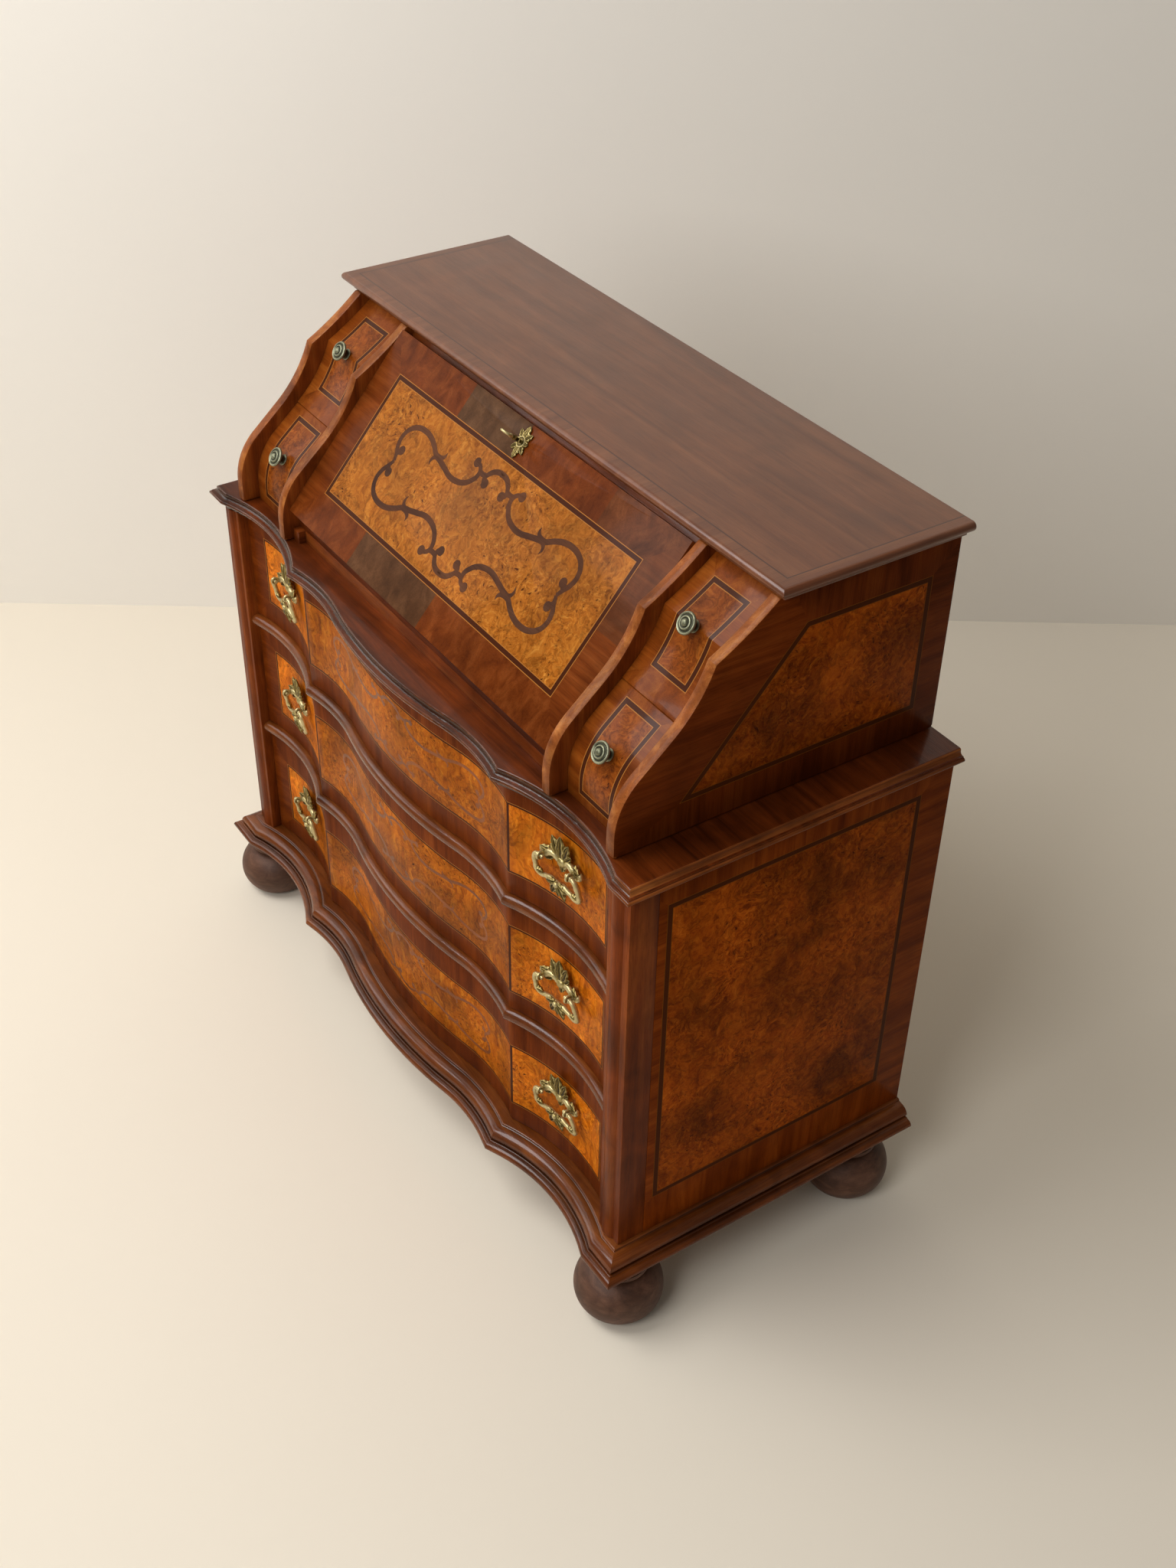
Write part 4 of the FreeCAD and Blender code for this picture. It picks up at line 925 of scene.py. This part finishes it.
# Each level's direction up its front, and the burl's low and high lines along it in millimetres.
SMALL_FRAMES = {
    "upper": ((0, 0.674, 0.739), 631.3, 739.7),
    "lower": ((0, 0.509, 0.86), 583.5, 697.3),
}
SMALL_IN = 388
SMALL_OUT = 440
for level, (rise_line, low_line, high_line) in SMALL_FRAMES.items():
    panel = veneered(
        f"burl_small_{level}",
        side_lines=direction_lines(OUTWARD, SMALL_IN, SMALL_OUT),
        end_lines=direction_lines(rise_line, low_line, high_line),
        side_grain="x",
        end_grain="z",
        strings=FRAME_STRINGS,
        tones=SMALL_BURL,
        band=SMALL_BAND,
    )
    for side in SIDES:
        front = eased(f"small_{level}_front_{side}", walnut_upright, "walnut_burl", 0.6)
        faced(front, panel, lambda normal, middle: normal.y < -0.2 and abs(normal.x) < 0.5)
        drawer_box(f"small_{level}_tray_{side}", 0.5)


# Flap

hinge = joints["flap_hinge"]
hinge_at = Vector(hinge["pos_m"])
slope = math.radians(180 - hinge["range_deg"][1])
climb = Vector((0, math.cos(slope), math.sin(slope)))
outward = Vector((0, -math.sin(slope), math.cos(slope)))
flap_frame = Matrix.Translation(hinge_at) @ Matrix.Rotation(slope, 4, "X")
# Sizes on the flap, in millimetres up its slope from the hinge and out from its middle.
FLAP_THICK = 18
FLAP_MIDDLE = 148
FLAP_BURL_HALF = 281
FLAP_BURL_LOW = 59
FLAP_BURL_HIGH = 237
FLAP_STRAPS_X = 2
FLAP_STRAPS_LIFT = 0.02
flap_base = hinge_at.dot(climb) / MM


def flap_finish():
    """Burl field in a frame of strings, with a border of changing walnut veneers."""
    up = tuple(climb)
    down = tuple(-climb)
    middle = flap_base + FLAP_MIDDLE
    return veneered(
        "burl_flap",
        side_lines=[(INWARD, -FLAP_BURL_HALF, 0)],
        end_lines=direction_lines(up, flap_base + FLAP_BURL_LOW, flap_base + FLAP_BURL_HIGH),
        side_grain="x",
        end_grain="z",
        strings=FRAME_STRINGS,
        band=FLAP_BAND,
        gloss=0.04,
        coat=0.05,
        pieces=[
            (1, -137, 0, up, middle),
            (0.4, 190, 345, up, middle),
            (0.9, -166, 20, down, -middle),
        ],
    )


flap = eased("flap", walnut_across, "walnut_burl")
faced(flap, flap_finish(), lambda normal, middle: normal.dot(outward) > 0.9)
straps = strapwork(reach=1, rise=1, half=4)
straps_at = Vector((FLAP_STRAPS_X, FLAP_MIDDLE, FLAP_THICK + FLAP_STRAPS_LIFT)) * MM
straps = moved(straps, flap_frame @ Matrix.Translation(straps_at))
settle(smooth(clean(straps), STRAP_ANGLE), "flap_strapwork", "flap", walnut_inlay, "walnut")


# Cast brass


def turned(profile, sides=40):
    """A turned body about z, from a ring drawn out along a profile of radius and height."""
    radius, height = profile[0]
    bpy.ops.object.select_all(action="DESELECT")
    bpy.ops.mesh.primitive_circle_add(
        vertices=sides, radius=radius * MM, fill_type="NGON", location=(0, 0, height * MM)
    )
    piece = moved(bpy.context.object, Matrix.Identity(4))
    open_mesh(piece)
    for wide, high in profile[1:]:
        bpy.ops.mesh.extrude_region_move(TRANSFORM_OT_translate={"value": (0, 0, (high - height) * MM)})
        share = wide / radius
        bpy.ops.transform.resize(value=(share, share, 1), center_override=(0, 0, high * MM))
        radius, height = wide, high
    close_mesh()
    return clean(piece)


def leaf(length, width, thick, curl):
    """A cast leaf along z: a ball drawn to a point, lobed, ribbed and curled forward at its tip."""
    bpy.ops.object.select_all(action="DESELECT")
    bpy.ops.mesh.primitive_uv_sphere_add(segments=32, ring_count=24, radius=1)
    piece = bpy.context.object
    lobes = 3
    lobe_depth = 0.14
    ribs = 3
    rib_depth = 0.28
    for point in piece.data.vertices:
        x, y, z = point.co
        girth = max(math.hypot(x, y), 1e-6)
        across = x / girth
        out = y / girth
        rise = (z + 1) / 2
        swell = math.sin(math.pi * min(rise, 1) ** 0.75) ** 0.7 if 0 < rise < 1 else 0
        lobe = 1 + lobe_depth * math.sin(2 * math.pi * lobes * rise)
        rib = 1 - rib_depth + rib_depth * math.cos(ribs * math.pi * across)
        point.co = (
            width * swell * lobe * across * MM,
            (thick * swell * rib * out - curl * rise**2) * MM,
            length * rise * MM,
        )
    return piece


def placed(piece, x, y, z, turn=0.0):
    """Turn a casting in its own plane and put it at a point in millimetres."""
    matrix = Matrix.Translation((x * MM, y * MM, z * MM))
    return moved(piece, matrix @ Matrix.Rotation(math.radians(turn), 4, "Y"))


RING_TURNS = {
    "x": Matrix.Rotation(math.radians(90), 4, "Y"),
    "y": Matrix.Rotation(math.radians(90), 4, "X"),
}


def ring(x, y, z, radius, wire, axis):
    """A round ring of a wire about the x or y axis."""
    bpy.ops.object.select_all(action="DESELECT")
    bpy.ops.mesh.primitive_torus_add(
        major_segments=32, minor_segments=14, major_radius=radius * MM, minor_radius=wire * MM
    )
    matrix = Matrix.Translation((x * MM, y * MM, z * MM))
    return moved(bpy.context.object, matrix @ RING_TURNS[axis])


# A pull is modelled about its eye line: x across, y into the drawer, z up.
EYE_OUT = 17.5
EYE_HALF = 27
PLATE_THICK = 3.5
BOSS_SUNK = 1
POST_SUNK = 1.5
# What lies within this depth of the drawer's hollow end is bent to its radius.
BENT_DEPTH = 10
HOLLOW_RADIUS = 301
CAST_ANGLE = 50


def pull_plate():
    """Backplate of a pull: leaf crown, boss, scrolled arms and the two eyes."""
    back = EYE_OUT - PLATE_THICK
    boss = turned([(9.5, 0), (10, 2), (9, 3.4), (7.6, 3.6), (7.2, 5), (6, 7), (4, 8.6), (1.5, 9.4)])
    made = [
        placed(leaf(34, 8.4, 4.6, 1.5), 0, back - 4, 7, 0),
        placed(leaf(13, 6, 3, 2), 0, back, -3, 180),
        moved(boss, Matrix.Translation((0, (EYE_OUT - BOSS_SUNK) * MM, 0)) @ TO_FRONT),
        ring(0, back - 0.6, 0, 8.6, 1.5, "y"),
    ]
    for side in (-1, 1):
        eye_at = (side * EYE_HALF * MM, (EYE_OUT - POST_SUNK) * MM, 0)
        eye_post = turned([(4.8, 0), (5, 2), (3.6, 3), (3.1, 6), (2.9, 9.5)])
        arm = [
            (side * 7, back, -3, 3.4),
            (side * 13, back - 3, 5, 4),
            (side * 20, back - 4, 4.5, 4.6),
            (side * 27, back - 3.5, -2, 3.8),
            (side * 32, back - 1.5, -5.5, 3),
            (side * 36.5, back - 1, -0.5, 2.6),
            (side * 33, back - 1, 3, 2),
        ]
        made += [
            placed(leaf(29, 7, 4.4, 2), side * 4, back - 3, 8, side * 23),
            placed(leaf(17, 5.6, 4, 2), side * 6, back - 2, 8, side * 50),
            placed(leaf(13, 4.6, 3.4, 3), side * 8, back - 1, 5, side * 82),
            placed(leaf(19, 5.6, 3.4, 5), side * 18, back, 3, side * 80),
            placed(leaf(15, 4.6, 3, 3), side * 17, back, -2, side * 122),
            ball(side * 35, back - 1, 1, 3.6),
            drawn(arm),
            moved(eye_post, Matrix.Translation(eye_at) @ TO_FRONT),
            ring(side * EYE_HALF, 0, 0, 4.6, 1.7, "x"),
        ]
    plate = clean(join(made))
    for point in plate.data.vertices:
        if point.co.y > (EYE_OUT - BENT_DEPTH) * MM:
            point.co.y -= (point.co.x / MM) ** 2 / (2 * HOLLOW_RADIUS) * MM
    return smooth(crested(plate), CAST_ANGLE)


def bail():
    """Swinging bail about its eye line: a swelling wire with knuckles, beads and a hanging leaf."""
    half = [
        (21.5, 0, 0, 2.4), (29, 0, 0, 2.5), (36, 0, -3, 3.4), (39.4, 0, -12, 4), (40.4, 0, -23, 3.4),
        (39.6, 0, -32, 4.2), (33, 0, -36, 3.8), (22, 0, -33, 3.2), (12, 0, -30, 3.6), (5, 0, -31, 3.2),
    ]
    wire = [(-x, y, z, radius) for x, y, z, radius in half] + half[::-1]
    made = [
        drawn(wire),
        placed(leaf(22, 5.4, 4, 3), 0, -0.5, -30, 180),
        ball(0, -2.6, -31, 4.2),
    ]
    for side in (-1, 1):
        made += [
            placed(leaf(25, 6.6, 4.2, 2), side * 2, -1.4, -30, side * 154),
            placed(leaf(19, 5.6, 3.8, 2), side * 2, -1.2, -29, side * 108),
            placed(leaf(13, 4.6, 3.8, 1), side * 39, -0.6, -32, side * -70),
            ring(side * 31, 0, -0.6, 2.4, 1.4, "x"),
        ]
    return smooth(crested(clean(join(made))), CAST_ANGLE)


# A bail hangs this many degrees from upright.
BAIL_LEAN = 11
plate_pattern = pull_plate()
bail_pattern = bail()
for drawer in LARGE_DRAWERS:
    plates = []
    for side in SIDES:
        swing = joints[f"{drawer}_bail_{side}_swing"]
        at = Vector(swing["pos_m"])
        turn = math.atan2(-swing["axis"][1], -swing["axis"][0])
        seat = Matrix.Translation(at) @ Matrix.Rotation(turn, 4, "Z")
        plates.append(copied(plate_pattern, seat))
        hung = copied(bail_pattern, seat @ Matrix.Rotation(math.radians(BAIL_LEAN), 4, "X"))
        node = f"{drawer}_bail_{side}"
        settle(hung, f"{node}_cast", node, brass, "aged_brass", node)
    settle(join(plates), f"{drawer}_pulls_cast", drawer, brass, "aged_brass", f"{drawer}_pull_plates")
for pattern in (plate_pattern, bail_pattern):
    bpy.data.objects.remove(pattern)


def knob():
    """Turned knob along z with rings on its face."""
    stem = [(8.2, 0.3), (8, 1.6), (6, 2.6), (5.4, 6), (6, 9.4)]
    rim = [(9, 11), (13.4, 12.4), (14, 13.6), (13.8, 15), (12.6, 16.2), (11.2, 15.6), (10.2, 14.8)]
    rings = [(9, 15.4), (8.2, 17.2), (7, 17.6), (6, 16.6), (5, 16.4), (4.2, 18.2), (3, 19.4), (1.2, 19.8)]
    body = soften(turned(stem + rim + rings, sides=56), width=0.3, angle=30)
    return smooth(crested(body), 40)


# A knob points up by this many degrees, and its foot is let in by this many millimetres.
KNOB_TILT = 35
KNOB_SUNK = 0.3
knob_pattern = knob()
for level in SMALL_FRAMES:
    for side in SIDES:
        node = f"small_{level}_knob_{side}"
        aim = Matrix.Rotation(math.radians(90 - KNOB_TILT), 4, "X")
        axis = aim @ Vector((0, 0, 1))
        points = [vertex.co for vertex in nodes[node].data.vertices]
        middle = sum(points, Vector()) / len(points)
        lowest = min(point.dot(axis) for point in points)
        foot = middle + axis * (lowest - middle.dot(axis) - KNOB_SUNK * MM)
        piece = copied(knob_pattern, Matrix.Translation(foot) @ aim)
        settle(piece, f"{node}_turned", f"small_{level}_{side}", knob_brass, "aged_brass", node)
bpy.data.objects.remove(knob_pattern)

key_at = Vector(joints["key_turn"]["pos_m"])
key_frame = Matrix.Translation(key_at) @ Matrix.Rotation(slope, 4, "X")
TO_UP = Matrix.Rotation(math.radians(-90), 4, "X")


def lock_plate():
    """Cast lock plate lying on the flap: x across, y up the slope, z out."""
    made = [
        turned([(7.6, 0), (8, 1), (7.4, 2), (6.4, 2.1), (5.8, 1.7), (3.4, 1.9), (3.1, 1.9)]),
        moved(placed(leaf(17, 5.6, 1.8, 0), 0, 0, 6), TO_UP),
        moved(placed(leaf(17, 5, 1.8, 0), 0, 0, -6, 180), TO_UP),
    ]
    for side in (-1, 1):
        for turn, long, wide in ((42, 15, 4.2), (88, 9, 4), (135, 14, 4)):
            angle = math.radians(turn)
            x = side * 4.5 * math.sin(angle)
            z = 5 * math.cos(angle)
            piece = placed(leaf(long, wide, 1.7, 0), x, 0, z, side * turn)
            made.append(moved(piece, TO_UP))
    return smooth(crested(clean(join(made))), CAST_ANGLE)


settle(moved(lock_plate(), key_frame), "lock_plate_cast", "flap", brass, "aged_brass", "escutcheon")


def door_key():
    """Key along z: shank with collars and a round bow."""
    shank = [(2.2, -12), (2.2, 5)]
    low_collar = [(3.2, 5.6), (3.2, 6.8), (2.3, 7.4), (2.2, 12)]
    high_collar = [(3.4, 13), (3.6, 14.6), (2.4, 16), (2.1, 21)]
    made = [
        turned(shank + low_collar + high_collar, sides=24),
        ring(0, 0, 28, 7.6, 1.7, "y"),
        ball(0, 0, 20.4, 2.8),
    ]
    return smooth(crested(clean(join(made))), CAST_ANGLE)


settle(moved(door_key(), key_frame), "key_turned", "key", brass, "aged_brass", "key")
for node in ("hinge_floor_leaves", "hinge_flap_leaves"):
    crested(eased(node, brass, "aged_brass", 0.3))


# Room, light and camera


def plain_paint(name, code):
    """Flat pale paint with the least mottling, clear from behind so that it hides nothing there."""
    finish, tree, place = new_finish(name)
    mottle = add(tree, "TexNoise", {"Vector": place, "Scale": 1.5, "Detail": 2.0}).outputs[0]
    colour = shaded(tree, linear(code), mottle, 0.97, 1.0)
    inputs = {"Base Color": colour, "Roughness": 0.7, "Specular IOR Level": 0.2}
    paint = add(tree, "BsdfPrincipled", inputs).outputs[0]
    clear = add(tree, "BsdfTransparent").outputs[0]
    behind = add(tree, "NewGeometry").outputs["Backfacing"]
    surface = add(tree, "MixShader", {0: behind, 1: paint, 2: clear}).outputs[0]
    add(tree, "OutputMaterial", {"Surface": surface})
    return finish


# The floor and the wall are square sheets of this many metres.
BACKDROP_SIZE = 14


def backdrop(name, code, matrix):
    """A plain painted sheet, which isn't part of the object."""
    bpy.ops.object.select_all(action="DESELECT")
    bpy.ops.mesh.primitive_plane_add(size=BACKDROP_SIZE)
    sheet = moved(bpy.context.object, matrix)
    sheet.name = name
    sheet.data.materials.append(plain_paint(f"{name}_paint", code))


CAMERA_AT = Vector((1.77829, -1.11188, 2.08715))
RIGHT = Vector((0.55136, 0.83413, 0.01511))
FORWARD = Vector((-0.65488, 0.44396, -0.61158))
# The wall stands square to the view, a gap behind this point on the floor.
BEHIND = Vector((-0.85, 0.42, 0))
WALL_GAP = 0.25
heading = Vector((FORWARD.x, FORWARD.y, 0)).normalized()
wall_turn = math.atan2(heading.y, heading.x)
wall_at = BEHIND + heading * WALL_GAP
facing = Matrix.Rotation(wall_turn, 4, "Z") @ Matrix.Rotation(math.radians(-90), 4, "Y")
backdrop("floor", "#e6dccb", Matrix.Identity(4))
backdrop("wall", "#f6f1e8", Matrix.Translation(wall_at) @ facing)


def lamp(name, at, aim, size, power):
    """A soft square lamp of a size in metres and a power in watts."""
    bpy.ops.object.select_all(action="DESELECT")
    bpy.ops.object.light_add(type="AREA", location=at)
    light = bpy.context.object
    light.name = name
    light.data.size = size
    light.data.energy = power
    light.rotation_mode = "QUATERNION"
    light.rotation_quaternion = (Vector(aim) - Vector(at)).to_track_quat("-Z", "Y")


lamp("key_light", at=(-0.8, -1.9, 3.7), aim=(0, 0, 0.6), size=2.0, power=91)
lamp("front_light", at=(1.2, -2.7, 2.6), aim=(0, 0, 0.4), size=1.6, power=50)
lamp("side_window", at=(-2.1, -1.6, 1.9), aim=(0, 0, 0.8), size=1.2, power=13)

world = bpy.data.worlds.new("room")
bpy.context.scene.world = world
world.use_nodes = True
sky = world.node_tree.nodes["Background"]
sky.inputs["Color"].default_value = linear("#f2efe9")
sky.inputs["Strength"].default_value = 0.17

bpy.ops.object.select_all(action="DESELECT")
bpy.ops.object.camera_add()
camera = bpy.context.object
camera.data.sensor_width = 36
camera.data.lens = 42.3
upward = RIGHT.cross(FORWARD)
axes = Matrix((RIGHT, upward, -FORWARD)).transposed().to_4x4()
camera.matrix_world = Matrix.Translation(CAMERA_AT) @ axes
bpy.context.scene.camera = camera
bpy.context.scene.view_settings.view_transform = "Standard"
